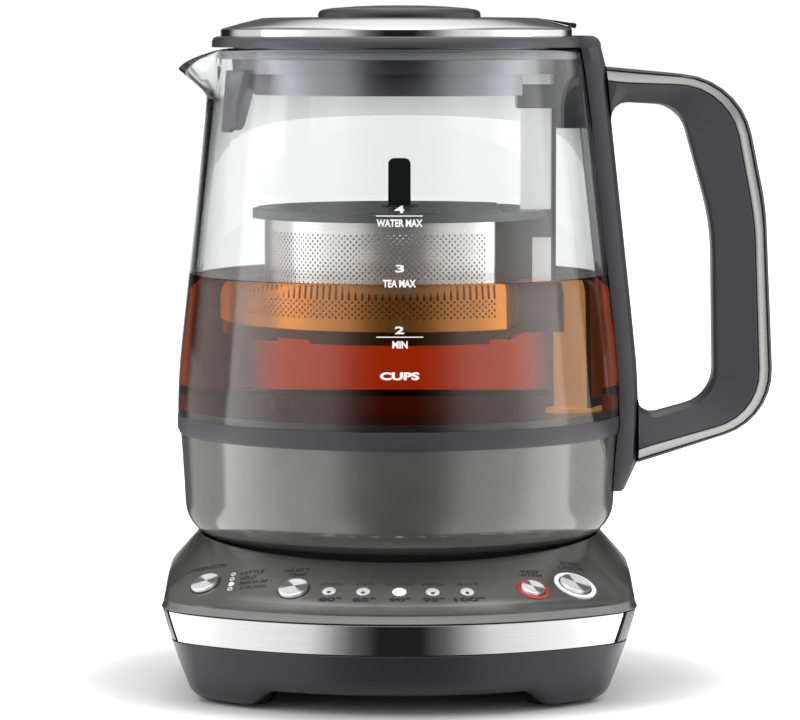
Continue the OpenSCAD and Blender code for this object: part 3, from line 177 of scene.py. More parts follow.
class Graph:
    """A node tree, with short ways to add nodes."""

    def __init__(self, tree, out_kind="ShaderNodeOutputMaterial"):
        self.tree = tree
        self.tree.nodes.clear()
        self.out = self.tree.nodes.new(out_kind)

    def add(self, kind, inputs=(), **props):
        n = self.tree.nodes.new("ShaderNode" + kind)
        for key, value in props.items():
            setattr(n, key, value)
        for key, value in dict(inputs).items():
            self.put(n.inputs[key], value)
        return n

    def put(self, socket, value):
        if hasattr(value, "outputs"):
            value = value.outputs[0]
        if hasattr(value, "is_output"):
            self.tree.links.new(value, socket)
        else:
            socket.default_value = value

    def math(self, op, a, b=0.0):
        n = self.add("Math", operation=op)
        self.put(n.inputs[0], a)
        self.put(n.inputs[1], b)
        return n.outputs[0]

    def product(self, a, b):
        return self.math("MULTIPLY", a, b)

    def rest_of(self, share):
        """What is left of the whole beside a share."""
        return self.math("SUBTRACT", 1.0, share)

    def where(self):
        return self.add("TexCoord").outputs["Object"]

    def noise(self, scale, detail=3.0, rough=0.55, stretch=(1, 1, 1)):
        m = self.add("Mapping", {"Vector": self.where(), "Scale": stretch})
        n = self.add("TexNoise", {"Vector": m, "Scale": scale, "Detail": detail, "Roughness": rough})
        return n.outputs["Fac"]

    def ramp(self, value, stops):
        """A colour ramp. Each stop is a place and a colour."""
        n = self.add("ValToRGB")
        elements = n.color_ramp.elements
        while len(elements) < len(stops):
            elements.new(0.5)
        for element, (at, color) in zip(elements, stops):
            element.position = at
            element.color = (*color, 1)
        self.put(n.inputs[0], value)
        return n.outputs[0]

    def span(self, value, low, high, to_low, to_high, smooth=False):
        """The value moved from one range to another, and kept inside it."""
        n = self.add("MapRange", interpolation_type="SMOOTHSTEP" if smooth else "LINEAR")
        for key, v in zip(("Value", "From Min", "From Max", "To Min", "To Max"),
                          (value, low, high, to_low, to_high)):
            self.put(n.inputs[key], v)
        return n.outputs[0]

    def bump(self, height, strength, distance):
        return self.add("Bump", {"Height": height, "Strength": strength, "Distance": distance}).outputs[0]

    def blend(self, share, first, second):
        n = self.add("MixShader")
        self.put(n.inputs[0], share)
        self.put(n.inputs[1], first)
        self.put(n.inputs[2], second)
        return n.outputs[0]

    def finish(self, shader):
        self.put(self.out.inputs["Surface"], shader)

    def principled(self, **values):
        names = {"base": "Base Color", "metal": "Metallic", "rough": "Roughness", "ior": "IOR",
                 "spec": "Specular IOR Level", "coat": "Coat Weight", "coat_rough": "Coat Roughness",
                 "clear": "Transmission Weight", "glow": "Emission Color",
                 "glow_power": "Emission Strength", "normal": "Normal", "tangent": "Tangent",
                 "aniso": "Anisotropic"}
        n = self.add("BsdfPrincipled")
        for key, value in values.items():
            if isinstance(value, tuple):
                value = (*value, 1)
            self.put(n.inputs[names[key]], value)
        return n

    def ray_is(self, *kinds):
        """1 where the ray is of one of these kinds, else 0."""
        path = self.add("LightPath")
        total = path.outputs["Is " + kinds[0] + " Ray"]
        for kind in kinds[1:]:
            total = self.math("MAXIMUM", total, path.outputs["Is " + kind + " Ray"])
        return total


def material(name):
    mat = bpy.data.materials.new(name)
    mat.use_nodes = True
    return mat, Graph(mat.node_tree)


# ---- Studio: soft boxes at both sides, a dark gap behind the camera, dark flags beside the white backdrop ----

# Brightness round the object: degrees from the camera's side, turning to the right
STUDIO = [(-180, 1.0), (-167, 1.0), (-162, 0.10), (-143, 0.10), (-134, 0.7), (-99.5, 0.8), (-97.5, 2.3),
          (-80, 1.8), (-62, 1.05), (-36, 0.8), (-25, 0.3), (-19, 0.12), (-9, 0.015), (9, 0.015), (19, 0.12),
          (24, 0.27), (36, 0.75), (60, 1.05), (74, 1.9), (93, 2.3), (95.5, 1.2), (130, 1.0), (138, 0.10),
          (162, 0.10), (167, 1.0), (180, 1.0)]


# A ramp's colours end at 1, so it holds brightness as a share of this
BRIGHTEST = 3.0


def studio_side(g, x, y):
    """Brightness seen in a level direction."""
    turn = g.math("ARCTAN2", x, g.product(y, -1.0))
    share = g.span(turn, -math.pi, math.pi, 0.0, 1.0)
    stops = [((a + 180) / 360, (v / BRIGHTEST,) * 3) for a, v in STUDIO]
    return g.product(g.ramp(share, stops), BRIGHTEST)


def make_world():
    """Gloss and glass see the studio, diffuse light is even, and the camera sees white."""
    world = bpy.data.worlds.new("studio")
    bpy.context.scene.world = world
    world.use_nodes = True
    g = Graph(world.node_tree, "ShaderNodeOutputWorld")
    split = g.add("SeparateXYZ", {0: g.add("TexCoord").outputs["Generated"]})
    x, y, z = split.outputs

    # The horizon behind the object is dark in reflections
    behind = g.product(g.span(y, 0.6, 0.8, 0.0, 1.0), g.span(z, -0.03, 0.0, 0.0, 1.0))
    behind = g.product(behind, g.ray_is("Glossy"))
    side = g.product(studio_side(g, x, y), g.rest_of(g.product(behind, 0.88)))

    # The top light is brightest straight above, and has a flag at each side of the back
    back = g.math("ARCTAN2", g.math("ABSOLUTE", x), y)
    flag = g.product(g.span(back, 0.14, 0.22, 0.0, 1.0), g.span(back, 0.8, 1.0, 1.0, 0.0))
    flag = g.product(flag, g.span(z, 0.8, 0.95, 0.75, 0.0))
    top = g.product(g.span(z, 0.5, 0.97, 1.0, 1.8), g.rest_of(flag))

    above = g.span(z, 0.26, 0.5, 0.0, 1.0, smooth=True)
    seen = g.math("ADD", g.product(side, g.rest_of(above)), g.product(top, above))
    detail = g.add("Background", {"Color": seen, "Strength": 1.0})
    soft = g.add("Background", {"Color": (1, 1, 1, 1), "Strength": 0.85})
    white = g.add("Background", {"Color": (1, 1, 1, 1), "Strength": 1.0})
    plain = g.blend(g.ray_is("Diffuse"), detail, soft)
    g.finish(g.blend(g.ray_is("Camera"), plain, white))


# ---- Materials ----

# The range that nearly all of a noise texture's values lie in
NOISE_LOW, NOISE_HIGH = 0.3, 0.7

FINE_SCALE = 900


def tint(color, k):
    return tuple(min(1, c * k) for c in color)


def mottled(g, noise, color, darker, lighter):
    return g.ramp(noise, [(NOISE_LOW, tint(color, darker)), (NOISE_HIGH, tint(color, lighter))])


def uneven(g, noise, low, high):
    return g.span(noise, NOISE_LOW, NOISE_HIGH, low, high)


def plastic(name, color, rough, grain=0.25, coat=0.0):
    """Moulded plastic: a little uneven in colour, with a fine grain."""
    mat, g = material(name)
    base = mottled(g, g.noise(14, 3), color, 0.94, 1.06)
    fine = g.noise(FINE_SCALE, 2)
    g.finish(g.principled(base=base, rough=uneven(g, fine, rough - 0.02, rough + 0.02), spec=0.5, coat=coat,
                          coat_rough=0.12, normal=g.bump(fine, grain, 0.00004)))
    return mat


def metal(name, color, rough, brush=(1, 1, 40), spread=0.06, share=1.0, spun=0.0, speckle=0.0, glow=0.0):
    """Metal with brush lines along the way the noise is least stretched. Share is how much of it is bare metal.
    Glow is painted light: an emission that brightens the metal.
    """
    mat, g = material(name)
    lines = g.noise(60, 4, 0.7, brush)
    base = mottled(g, lines, color, 0.95 - speckle, 1.04 + speckle)
    shine = uneven(g, lines, rough - spread / 2, rough + spread / 2)
    values = dict(base=base, metal=share, rough=shine, normal=g.bump(g.noise(1500, 2), 0.1, 0.00001))
    # Painted light: the glow makes the metal shine without a lamp
    if glow:
        values.update(glow=(1, 1, 1), glow_power=glow)
    if spun:
        values.update(aniso=spun, tangent=g.add("Tangent", direction_type="RADIAL", axis="Z"))
    g.finish(g.principled(**values))
    return mat


def glass_material():
    mat, g = material("glass")
    smear = g.span(g.noise(9, 3), 0.5, 0.8, 0.0, 0.015)
    g.finish(g.principled(base=(0.97, 0.975, 0.975), rough=smear, ior=1.47, clear=1.0))
    return mat


# Brush lines the same in all directions, for cast and painted metal
EVEN = (1, 1, 1)

# One finish for each slot of the record
MATERIALS = {
    "dark_plastic": plastic("dark_plastic", (0.048, 0.047, 0.056), 0.34),
    "deck_metal": metal("deck_metal", (0.225, 0.225, 0.215), 0.22, EVEN, share=0.85, speckle=0.02),
    "chrome": metal("chrome", (0.86, 0.86, 0.86), 0.05, spread=0.03),
    # The steel's small glow is painted light that brightens the drum behind the glass
    "steel": metal("steel", (0.93, 0.93, 0.92), 0.22, share=0.75, glow=0.04),
    "lid_metal": metal("lid_metal", (0.82, 0.82, 0.82), 0.06, spread=0.03, spun=0.4),
    "black_plastic": plastic("black_plastic", (0.02, 0.02, 0.021), 0.32),
    "grip_plastic": plastic("grip_plastic", (0.058, 0.056, 0.066), 0.36),
    "handle_metal": metal("handle_metal", (0.27, 0.27, 0.265), 0.22),
    "band_plastic": metal("band_plastic", (0.075, 0.075, 0.086), 0.3, EVEN, share=0.5),
    "collar_plastic": metal("collar_plastic", (0.3, 0.3, 0.325), 0.24, EVEN, share=0.8),
    "grey_plastic": plastic("grey_plastic", (0.085, 0.088, 0.092), 0.3),
    "seam_plastic": plastic("seam_plastic", (0.045, 0.044, 0.05), 0.36),
    "silicone": plastic("silicone", (0.55, 0.55, 0.57), 0.5),
    "rubber": plastic("rubber", (0.02, 0.02, 0.02), 0.6),
    "brass": metal("brass", (0.72, 0.56, 0.24), 0.2),
    "board": plastic("board", (0.03, 0.17, 0.05), 0.4),
    "light_lens": plastic("light_lens", (0.62, 0.63, 0.62), 0.16, grain=0.05, coat=1.0),
    "red_lens": plastic("red_lens", (0.4, 0.015, 0.02), 0.25, grain=0.05, coat=0.4),
    "white_lens": plastic("white_lens", (0.86, 0.88, 0.9), 0.3, grain=0.05),
    "screw_steel": metal("screw_steel", (0.5, 0.5, 0.5), 0.3),
    "magnet": plastic("magnet", (0.25, 0.25, 0.27), 0.4),
    "glass": glass_material(),
}

# Nodes whose finish differs from others in the same slot
SPECIAL = {
    "heater_plate": metal("plate_steel", (0.16, 0.155, 0.15), 0.3, EVEN),
    "base_housing": plastic("housing_plastic", (0.024, 0.0235, 0.029), 0.3, grain=0.03),
    "rear_band": plastic("rear_band_plastic", (0.045, 0.044, 0.052), 0.3, grain=0.05),
    # The post's glow is painted light, standing in for the lamp light that the glass keeps from it
    "basket_post": metal("post_steel", (0.95, 0.95, 0.95), 0.25, share=0.1, glow=0.32),
    "metal_shell": metal("shell_metal", (0.215, 0.215, 0.205), 0.11, EVEN, share=0.68, speckle=0.02),
    "basket_frame": plastic("frame_plastic", (0.19, 0.193, 0.197), 0.3),
    "basket_lid": plastic("basket_lid_plastic", (0.23, 0.233, 0.237), 0.25),
}

SLOT_OF = {part["node"]: part["material_slot"] for part in frame["record"]["subparts"]}


def button_material():
    """Spun metal with a painted highlight: its colour is bright in two facing quarters and dark between them,
    painted as the spun finish's reflection.
    """
    mat, g = material("button_painted_highlight")
    split = g.add("SeparateXYZ", {0: g.add("TexCoord").outputs["Generated"]})
    x, y = (g.math("SUBTRACT", split.outputs[i], 0.5) for i in (0, 1))
    # Painted highlight: the base colour turns bright and dark by the angle round the button's middle
    painted_highlight_lobes = g.math("SINE", g.math("ADD", g.product(g.math("ARCTAN2", y, x), 2.0), -0.5))
    base = g.ramp(g.span(painted_highlight_lobes, -1.0, 1.0, 0.0, 1.0), [(0.12, (0.16, 0.16, 0.16)), (0.4, (0.9, 0.9, 0.9))])
    g.finish(g.principled(base=base, metal=0.5, rough=uneven(g, g.noise(FINE_SCALE, 2), 0.2, 0.26)))
    return mat


def lit_material():
    mat, g = material("lit_lens")
    g.finish(g.principled(base=(0.9, 0.9, 0.9), rough=uneven(g, g.noise(FINE_SCALE, 2), 0.25, 0.35),
                          glow=(1, 1, 1), glow_power=0.35))
    return mat


def finish_of(node):
    return SPECIAL.get(node, MATERIALS[SLOT_OF[node]])


# ---- Making pieces ----

def add_object(name, mesh, mat):
    mesh.materials.clear()
    mesh.materials.append(mat)
    obj = bpy.data.objects.new(name, mesh)
    bpy.context.scene.collection.objects.link(obj)
    return obj


def shade(bm, angle):
    """Smooth shading with sharp edges where faces meet at more than the angle."""
    limit = math.radians(angle)
    for f in bm.faces:
        f.smooth = True
    for e in bm.edges:
        e.smooth = len(e.link_faces) == 2 and e.calc_face_angle(0) < limit


def refine(node):
    """A copy of a CAD node's shape, cleaned and smoothly shaded."""
    source = frame["nodes"][node]
    name = node + "_skin"
    mesh = bpy.data.meshes.new(name)
    bm = bmesh.new()
    bm.from_mesh(source.data)
    bmesh.ops.remove_doubles(bm, verts=bm.verts, dist=0.000005)
    bmesh.ops.dissolve_degenerate(bm, edges=bm.edges, dist=0.000002)
    bmesh.ops.recalc_face_normals(bm, faces=bm.faces)
    shade(bm, 32)
    bm.to_mesh(mesh)
    bm.free()
    obj = add_object(name, mesh, finish_of(node))
    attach(obj, source["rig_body"])
    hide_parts(node)


def build(name, verts, faces, mat, body, sharp=35, nodes=(), slot=None):
    """A piece from points and faces. It rides on a body, or belongs to the stage where there is none."""
    mesh = bpy.data.meshes.new(name)
    mesh.from_pydata([tuple(v) for v in verts], [], faces)
    bm = bmesh.new()
    bm.from_mesh(mesh)
    bmesh.ops.recalc_face_normals(bm, faces=bm.faces)
    shade(bm, sharp)
    bm.to_mesh(mesh)
    bm.free()
    obj = add_object(name, mesh, mat)
    if body:
        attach(obj, body)
    if nodes:
        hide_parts(*nodes)
    if nodes or slot:
        slot or SLOT_OF[nodes[0]]
    return obj


def rings_mesh(rings, closed=False, caps=True):
    """Faces through rings of points. Closed joins the last ring to the first; otherwise the ends are capped."""
    n, m = len(rings[0]), len(rings)
    verts = [p for ring in rings for p in ring]
    faces = [(j * n + i, (j + 1) % m * n + i, (j + 1) % m * n + (i + 1) % n, j * n + (i + 1) % n)
             for j in range(m if closed else m - 1) for i in range(n)]
    if not closed and caps:
        faces += [tuple(range(n)), tuple(range((m - 1) * n + n - 1, (m - 1) * n - 1, -1))]
    return verts, faces


# ---- Floor ----

def make_floor():
    """A pale floor with the object's shadow, and painted shade round the object where the floor's glow is held
    back. Away from the object, gloss and glass see the studio in it.
    """
    mat, g = material("floor")
    split = g.add("SeparateXYZ", {0: g.where()})
    x, y = (g.math("SUBTRACT", split.outputs[i], centre / 1000) for i, centre in enumerate((AXIS_X, AXIS_Y)))
    out = g.math("SQRT", g.math("ADD", g.product(x, x), g.product(y, y)))
    base = g.ramp(g.noise(3, 2), [(NOISE_LOW, (0.79, 0.79, 0.79)), (NOISE_HIGH, (0.81, 0.81, 0.81))])
    # The glow whitens the floor for the camera and is held back near the object: painted shade that deepens the
    # shadow there
    glow = g.product(g.ray_is("Camera", "Transmission"), g.span(out, 0.086, 0.155, 0.0, 0.85, smooth=True))
    near = g.principled(base=base, rough=0.6, spec=0.2, glow=(1, 1, 1), glow_power=glow)
    spread = g.product(x, g.span(out, 0.1, 0.4, 1.7, 1.0))
    far = g.add("Emission", {"Color": studio_side(g, spread, y), "Strength": 1.0})
    in_gloss = g.product(g.ray_is("Glossy"), g.span(out, 0.086, 0.108, 0.0, 1.0, smooth=True))
    through = g.product(g.ray_is("Transmission"), g.span(out, 0.16, 0.3, 0.0, 1.0, smooth=True))
    g.finish(g.blend(g.math("MAXIMUM", in_gloss, through), near, far))
    angles = range(0, 360, 6)
    rings = [[(r * cosd(a), r * sind(a), 0) for a in angles] for r in (0.5, 1.5, 4.0, 9.0)]
    verts, faces = rings_mesh(rings, caps=False)
    faces.append(tuple(range(len(angles))))
    build("floor", verts, faces, mat, None)


# ---- Glass and tea ----

def glass_r(z):
    """Outer radius of the glass: a belly over the seam ring, then a taper."""
    belly_r = BELLY_H / sind(TAPER)
    if z < SEAM_TOP + BELLY_H:
        return FOOT_R - belly_r * (1 - math.cos(math.asin(max(0, z - SEAM_TOP) / belly_r)))
    return FOOT_R - belly_r * (1 - cosd(TAPER)) - (z - SEAM_TOP - BELLY_H) * math.tan(math.radians(TAPER))


def spout_share(a):
    phi = abs(a - 180)
    return 0 if phi > SPOUT_HALF else (0.5 + 0.5 * cosd(180 * phi / SPOUT_HALF)) ** 1.15


def spout_push(z):
    return 1.3 * math.log(1 + math.exp(min(30, z - 192.6)))


def glass_point(a, z, inset=0.0):
    w = spout_share(a)
    top = GLASS_TOP - SPOUT_DIP * w
    if z > SPOUT_FROM:
        z = SPOUT_FROM + (z - SPOUT_FROM) * (top - SPOUT_FROM) / (GLASS_TOP - SPOUT_FROM)
    push = spout_push(z) * w
    return round_point(a, glass_r(z) + push - inset * (1 + 0.45 * min(1, push / 4)), z)


# Finer round the spout
GLASS_ANGLES = [i * 2.5 for i in range(63)]
GLASS_ANGLES += [157.5 + i * 0.9 for i in range(50)]
GLASS_ANGLES += [202.5 + i * 2.5 for i in range(63)]


def make_glass():
    levels = [SEAM_TOP + 0.05 + BELLY_H * i / 10 for i in range(10)] + [112 + i * 8.5 for i in range(9)]
    levels += [188 + i * 1.15 for i in range(16)] + [206.3]
    rings = [[glass_point(a, z) for a in GLASS_ANGLES] for z in levels]
    half_wall = WALL / 2
    for t in (30, 60, 90, 120, 150):
        z, inset = GLASS_TOP - half_wall + half_wall * sind(t), half_wall * (1 - cosd(t))
        rings.append([glass_point(a, z, inset) for a in GLASS_ANGLES])
    rings += [[glass_point(a, z, WALL) for a in GLASS_ANGLES] for z in reversed(levels)]
    verts, faces = rings_mesh(rings, closed=True)
    build("glass_body", verts, faces, MATERIALS["glass"], "jug", sharp=60, nodes=("glass_jug",))


def tea_material():
    mat, g = material("tea")
    g.finish(g.principled(base=(1, 1, 1), rough=0.0, ior=1.33, clear=1.0))
    drink = g.add("VolumeAbsorption", {"Color": (0.894, 0.6, 0.0, 1), "Density": 67.0})
    g.tree.links.new(drink.outputs[0], g.out.inputs["Volume"])
    return mat


def make_tea():
    """The tea reaches a little into the glass and climbs at its edge."""
    angles = range(0, 360, 2)
    levels = [PLATE_TOP - 0.5] + [SEAM_TOP + 2.5 + i * 3 for i in range(14)] + [TEA_TOP]
    rings = [[round_point(a, glass_r(z) - TEA_GAP, z) for a in angles] for z in levels]
    top_r = glass_r(TEA_TOP)
    for inset, rise in ((1.2, 0.55), (2.45, 0.5), (2.9, 0.2), (3.6, 0.05), (5, 0), (25, 0), (50, 0)):
        rings.append([round_point(a, top_r - inset, TEA_TOP + rise) for a in angles])
    verts, faces = rings_mesh(rings)
    build("tea", verts, faces, tea_material(), "jug", sharp=50)


# ---- Steel drum ----

def make_drum():
    """A thin drum: a round wall of six-sided holes, joined to a plain flat side."""
    edge = math.degrees(math.acos(DRUM_X / DRUM_R))
    margin = 5
    start = edge + margin
    arc = 360 - 2 * start
    columns = round(math.radians(arc) * DRUM_R / HOLE_PITCH)
    step, rise = arc / columns, (HOLES_HIGH - HOLES_LOW) / HOLE_ROWS
    top = DRUM_HIGH - 0.2
    verts, faces, seen = [], [], {}

    def vert(u, z):
        """The number of the point at this angle and height, made once."""
        key = (round(u * 10000), round(z * 10000))
        if key not in seen:
            seen[key] = len(verts)
            verts.append(round_point(u, DRUM_R, z))
        return seen[key]

    def patch(u0, u1, z0, z1):
        faces.append((vert(u0, z0), vert(u1, z0), vert(u1, z1), vert(u0, z1)))

    hole_turn = math.degrees(HOLE_R / DRUM_R)
    for row in range(HOLE_ROWS):
        odd = row % 2
        z0 = HOLES_LOW + row * rise
        z1 = z0 + rise
        for col in range(columns - odd):
            u0 = start + (col + 0.5 * odd) * step
            middle, u1 = u0 + step / 2, u0 + step
            outer = [vert(u, z) for u, z in ((u0, z0), (middle, z0), (u1, z0), (u1, z1), (middle, z1), (u0, z1))]
            inner = [vert(middle + hole_turn * cosd(t), z0 + rise / 2 + HOLE_R * sind(t))
                     for t in (210, 270, 330, 30, 90, 150)]
            for i in range(6):
                j = (i + 1) % 6
                faces.append((outer[i], outer[j], inner[j], inner[i]))
        if odd:
            for u in (start, start + arc - step / 2):
                patch(u, u + step / 2, z0, z1)
    half_steps = [start + i * step / 2 for i in range(2 * columns + 1)]
    for u0, u1 in zip(half_steps, half_steps[1:]):
        patch(u0, u1, DRUM_LOW, HOLES_LOW)
        patch(u0, u1, HOLES_HIGH, top)

    # The flat side, with its bends, from one end of the wall to the other
    levels = [DRUM_LOW] + [HOLES_LOW + i * rise for i in range(HOLE_ROWS + 1)] + [top]
    flat_y = math.sqrt(DRUM_R ** 2 - DRUM_X ** 2)
    side = [(DRUM_R * cosd(a), DRUM_R * sind(a)) for a in (start - margin * i / 4 for i in range(1, 5))]
    side += [(DRUM_X, flat_y * (1 - i / 6)) for i in range(1, 13)]
    side += [(DRUM_R * cosd(a), DRUM_R * sind(a)) for a in (-edge - margin * i / 4 for i in range(1, 4))]
    grid = []
    for z in levels:
        first, last = vert(start, z), vert(start + arc, z)
        grid.append([first, *range(len(verts), len(verts) + len(side)), last])
        verts.extend(place(x, y, z) for x, y in side)
    for lower, upper in zip(grid, grid[1:]):
        for i in range(len(lower) - 1):
            faces.append((lower[i], lower[i + 1], upper[i + 1], upper[i]))

    obj = build("basket_sieve", verts, faces, MATERIALS["steel"], "basket", sharp=50, nodes=("basket_drum",))
    mod = obj.modifiers.new("sheet", "SOLIDIFY")
    mod.thickness = DRUM_SHEET / 1000
    mod.offset = -1


# ---- Power base ----

CORNER_Y = FRONT_Y - math.sqrt((FRONT_R - CORNER_R) ** 2 - CORNER_X ** 2)


def ray_to_circle(a, cx, cy, r):
    along = cosd(a) * cx + sind(a) * cy
    return along + math.sqrt(along * along - cx * cx - cy * cy + r * r)


def plan_r(a, inset=0.0):
    """Radius of the base's outline about the jug's axis: half circle, straight side, corner, wide front."""
    below = math.degrees(math.atan2(-sind(a), abs(cosd(a))))
    side = 1 if cosd(a) > 0 else -1
    half_w = BASE_HALF_W - inset
    k = (FRONT_R - inset) / (FRONT_R - CORNER_R)
    first = math.degrees(math.atan2(-CORNER_Y, half_w))
    last = math.degrees(math.atan2(-FRONT_Y - (CORNER_Y - FRONT_Y) * k, CORNER_X * k))
    if below <= 0:
        return half_w
    if below < first:
        return half_w / cosd(below)
    if below < last:
        return ray_to_circle(a, side * CORNER_X, CORNER_Y, CORNER_R - inset)
    return ray_to_circle(a, 0, FRONT_Y, FRONT_R - inset)


def plan_point(a, inset, z):
    return round_point(a, plan_r(a, inset), z)


def facing(a):
    """How far a direction faces the front: 1 straight ahead, 0 to the sides and the back."""
    return max(0, -sind(a)) ** 2


def rim_height(a):
    return 49 - 3 * facing(a)


def deck_point(a, u):
    """A point of the deck at a share of the way from its lip to its rim."""
    r = plan_r(a) + (RIM_R - plan_r(a)) * u
    return round_point(a, r, LIP_Z + (rim_height(a) - LIP_Z) * deck_share(a, u))


def smooth_curve(points, steps):
    """Points along a smooth curve through the given ones."""
    out = []
    for i in range(len(points) - 1):
        p0 = points[max(0, i - 1)]
        p1, p2 = points[i], points[i + 1]
        p3 = points[min(len(points) - 1, i + 2)]
        for k in range(steps):
            t = k / steps
            out.append(tuple(0.5 * (2 * b + (c - a) * t + (2 * a - 5 * b + 4 * c - d) * t * t
                                    + (3 * b - a - 3 * c + d) * t ** 3)
                             for a, b, c, d in zip(p0, p1, p2, p3)))
    return out + [tuple(points[-1])]


# The deck's height against the share of the way in, and the shares at which it has a ring of points
SIDE_CURVE = smooth_curve([(0.034, 0.0), (0.046, 0.15), (0.066, 0.28), (0.1, 0.38), (0.15, 0.435), (0.4, 0.6),
                           (0.7, 0.8), (0.94, 0.96), (0.98, 0.993), (1, 1)], 6)
FRONT_CURVE = smooth_curve([(0.034, 0.0), (0.1, 0.045), (0.2, 0.165), (0.3, 0.3), (0.6, 0.62), (0.94, 0.96),
                            (0.98, 0.99), (1, 1)], 6)
DECK_STEPS = sorted({round(point[0], 4) for point in SIDE_CURVE[::2] + FRONT_CURVE[::3]})


def along_curve(curve, u):
    for (u0, v0), (u1, v1) in zip(curve, curve[1:]):
        if u <= u1:
            return v0 + (v1 - v0) * (u - u0) / (u1 - u0)
    return 1.0


def deck_share(a, u):
    """Height of the deck between its lip and its rim. It is steep at the sides and even at the front."""
    front = ease((-sind(a) - 0.35) / 0.4)
    return along_curve(SIDE_CURVE, u) * (1 - front) + along_curve(FRONT_CURVE, u) * front


def deck_height(x, y):
    a, r = math.degrees(math.atan2(y, x)) % 360, math.hypot(x, y)
    u = (plan_r(a) - r) / (plan_r(a) - RIM_R)
    return LIP_Z + (rim_height(a) - LIP_Z) * deck_share(a, u)


def deck_normal(x, y):
    e = 0.5
    fall_x = deck_height(x - e, y) - deck_height(x + e, y)
    fall_y = deck_height(x, y - e) - deck_height(x, y + e)
    return Vector((fall_x, fall_y, 2 * e)).normalized()


def make_deck():
    """The deck from the underside of its lip over the slope and the rim down into the well, and back below."""
    angles = range(360)
    lip_low, strip_low, strip_high, under = 30.2, 30.35, 32.1, 31.3
    strip_middle = (strip_low + strip_high) / 2
    outline = [(2.0, lip_low), (0.12, lip_low), (0.0, strip_low), (0.4, strip_middle), (0.8, strip_high)]
    rings = [[plan_point(a, inset, z) for a in angles] for inset, z in outline]
    rings += [[deck_point(a, u) for a in angles] for u in DECK_STEPS]
    for k in (30, 60, 90):
        rings.append([round_point(a, RIM_R - 1.3 * sind(k), rim_height(a) - 1.2 * (1 - cosd(k))) for a in angles])
    rings += [[round_point(a, r, WELL_FLOOR + 0.1) for a in angles] for r in (WELL_R, WELL_R + 2.4)]
    rings += [[plan_point(a, inset, under) for a in angles] for inset in (4.0, 2.0)]
    verts, faces = rings_mesh(rings, closed=True)
    build("deck_skin", verts, faces, MATERIALS["deck_metal"], "base", sharp=38, nodes=("base_deck",))


def housing_inset(a, z):
    """How far the housing's wall has moved in from the outline at a height."""
    taper = 11.2 - 2.6 * facing(a)
    return taper * max(0, 1 - (z - SKIRT) / (HOUSING_TOP - SKIRT)) ** 1.2


def lower_edge(a):
    """Height of the housing's lower edge, which rises in an arch at the front and at the back."""
    x = abs((plan_r(a) - 10) * cosd(a))
    return SKIRT + ARCH_RISE * ease((49.5 - x) / 10.5)


def groove_back(a):
    """Inset of the back of the groove that holds the bands."""
    return housing_inset(a, BAND_LOW - 0.2) + 1.76


def make_housing():
    """The housing's wall with the bands' groove, down to its rounded lower edge and up again inside."""
    angles = [a / 2 for a in range(720)]
    inner, top, groove_in = 2.5, 30.9, 2.2
    groove_low, groove_high, wall_top = BAND_LOW - 0.15, BAND_HIGH + 0.25, BAND_LOW - 0.4
    rings = [[plan_point(a, groove_back(a) + inner, top) for a in angles],
             [plan_point(a, groove_in, top) for a in angles],
             [plan_point(a, groove_in, groove_high) for a in angles],
             [plan_point(a, groove_back(a), groove_high) for a in angles],
             [plan_point(a, groove_back(a), groove_low) for a in angles],
             [plan_point(a, housing_inset(a, groove_low) + 0.25, groove_low) for a in angles],
             [plan_point(a, housing_inset(a, wall_top), wall_top) for a in angles]]

    def wall_point(a, z, back=0.0):
        return plan_point(a, housing_inset(a, z) + back, z)

    steps = 7
    for k in range(1, steps + 1):
        rings.append([wall_point(a, wall_top + (lower_edge(a) + HOUSING_EDGE - wall_top) * k / steps)
                      for a in angles])
    for t in (15, 30, 45, 60, 75, 90):
        up, back = HOUSING_EDGE * (1 - sind(t)), HOUSING_EDGE * (1 - cosd(t))
        rings.append([wall_point(a, lower_edge(a) + up, back) for a in angles])
    rings.append([plan_point(a, housing_inset(a, 3) + 4.4, lower_edge(a)) for a in angles])
    rings.append([plan_point(a, groove_back(a) + inner, max(12.0, lower_edge(a) + 4)) for a in angles])
    verts, faces = rings_mesh(rings, closed=True)
    build("housing_skin", verts, faces, finish_of("base_housing"), "base", sharp=40, nodes=("base_housing",))


def make_band(name, node, first, last, slant, proud):
    """A band in the housing's groove, between two angles, with slanted ends."""
    steps = round((last - first) / 0.75)
    outside = [(BAND_LOW, 0.2), (BAND_LOW + 0.2, 0.0), (BAND_LOW + 3.3, 0.0), (BAND_LOW + 6.5, 0.0),
               (BAND_HIGH - 0.2, 0.0), (BAND_HIGH, 0.2)]

    def turn(z, i):
        k = slant * (BAND_HIGH - z) / (BAND_HIGH - BAND_LOW)
        return first + k + (last - first - 2 * k) * i / steps

    rings = []
    for i in range(steps + 1):
        ring = []
        for z, back in outside:
            a = turn(z, i)
            ring.append(plan_point(a, housing_inset(a, z) + back + proud, z))
        for z in (BAND_HIGH, BAND_LOW):
            a = turn(z, i)
            ring.append(plan_point(a, groove_back(a) - 0.36, z))
        rings.append(ring)
    verts, faces = rings_mesh(rings)
    build(name, verts, faces, finish_of(node), "base", sharp=30, nodes=(node,))


# ---- Controls ----

def lathe(spot, profile, steps=48):
    """Rings round the normal of the deck at a spot. The profile gives radius and height above the deck."""
    n = deck_normal(*spot)
    side = n.cross(Vector((0, 1, 0))).normalized()
    up = n.cross(side)
    centre = place(*spot, deck_height(*spot))
    turns = [360 * i / steps for i in range(steps)]
    return [[centre + (side * cosd(t) * r + up * sind(t) * r + n * h) / 1000 for t in turns] for r, h in profile]


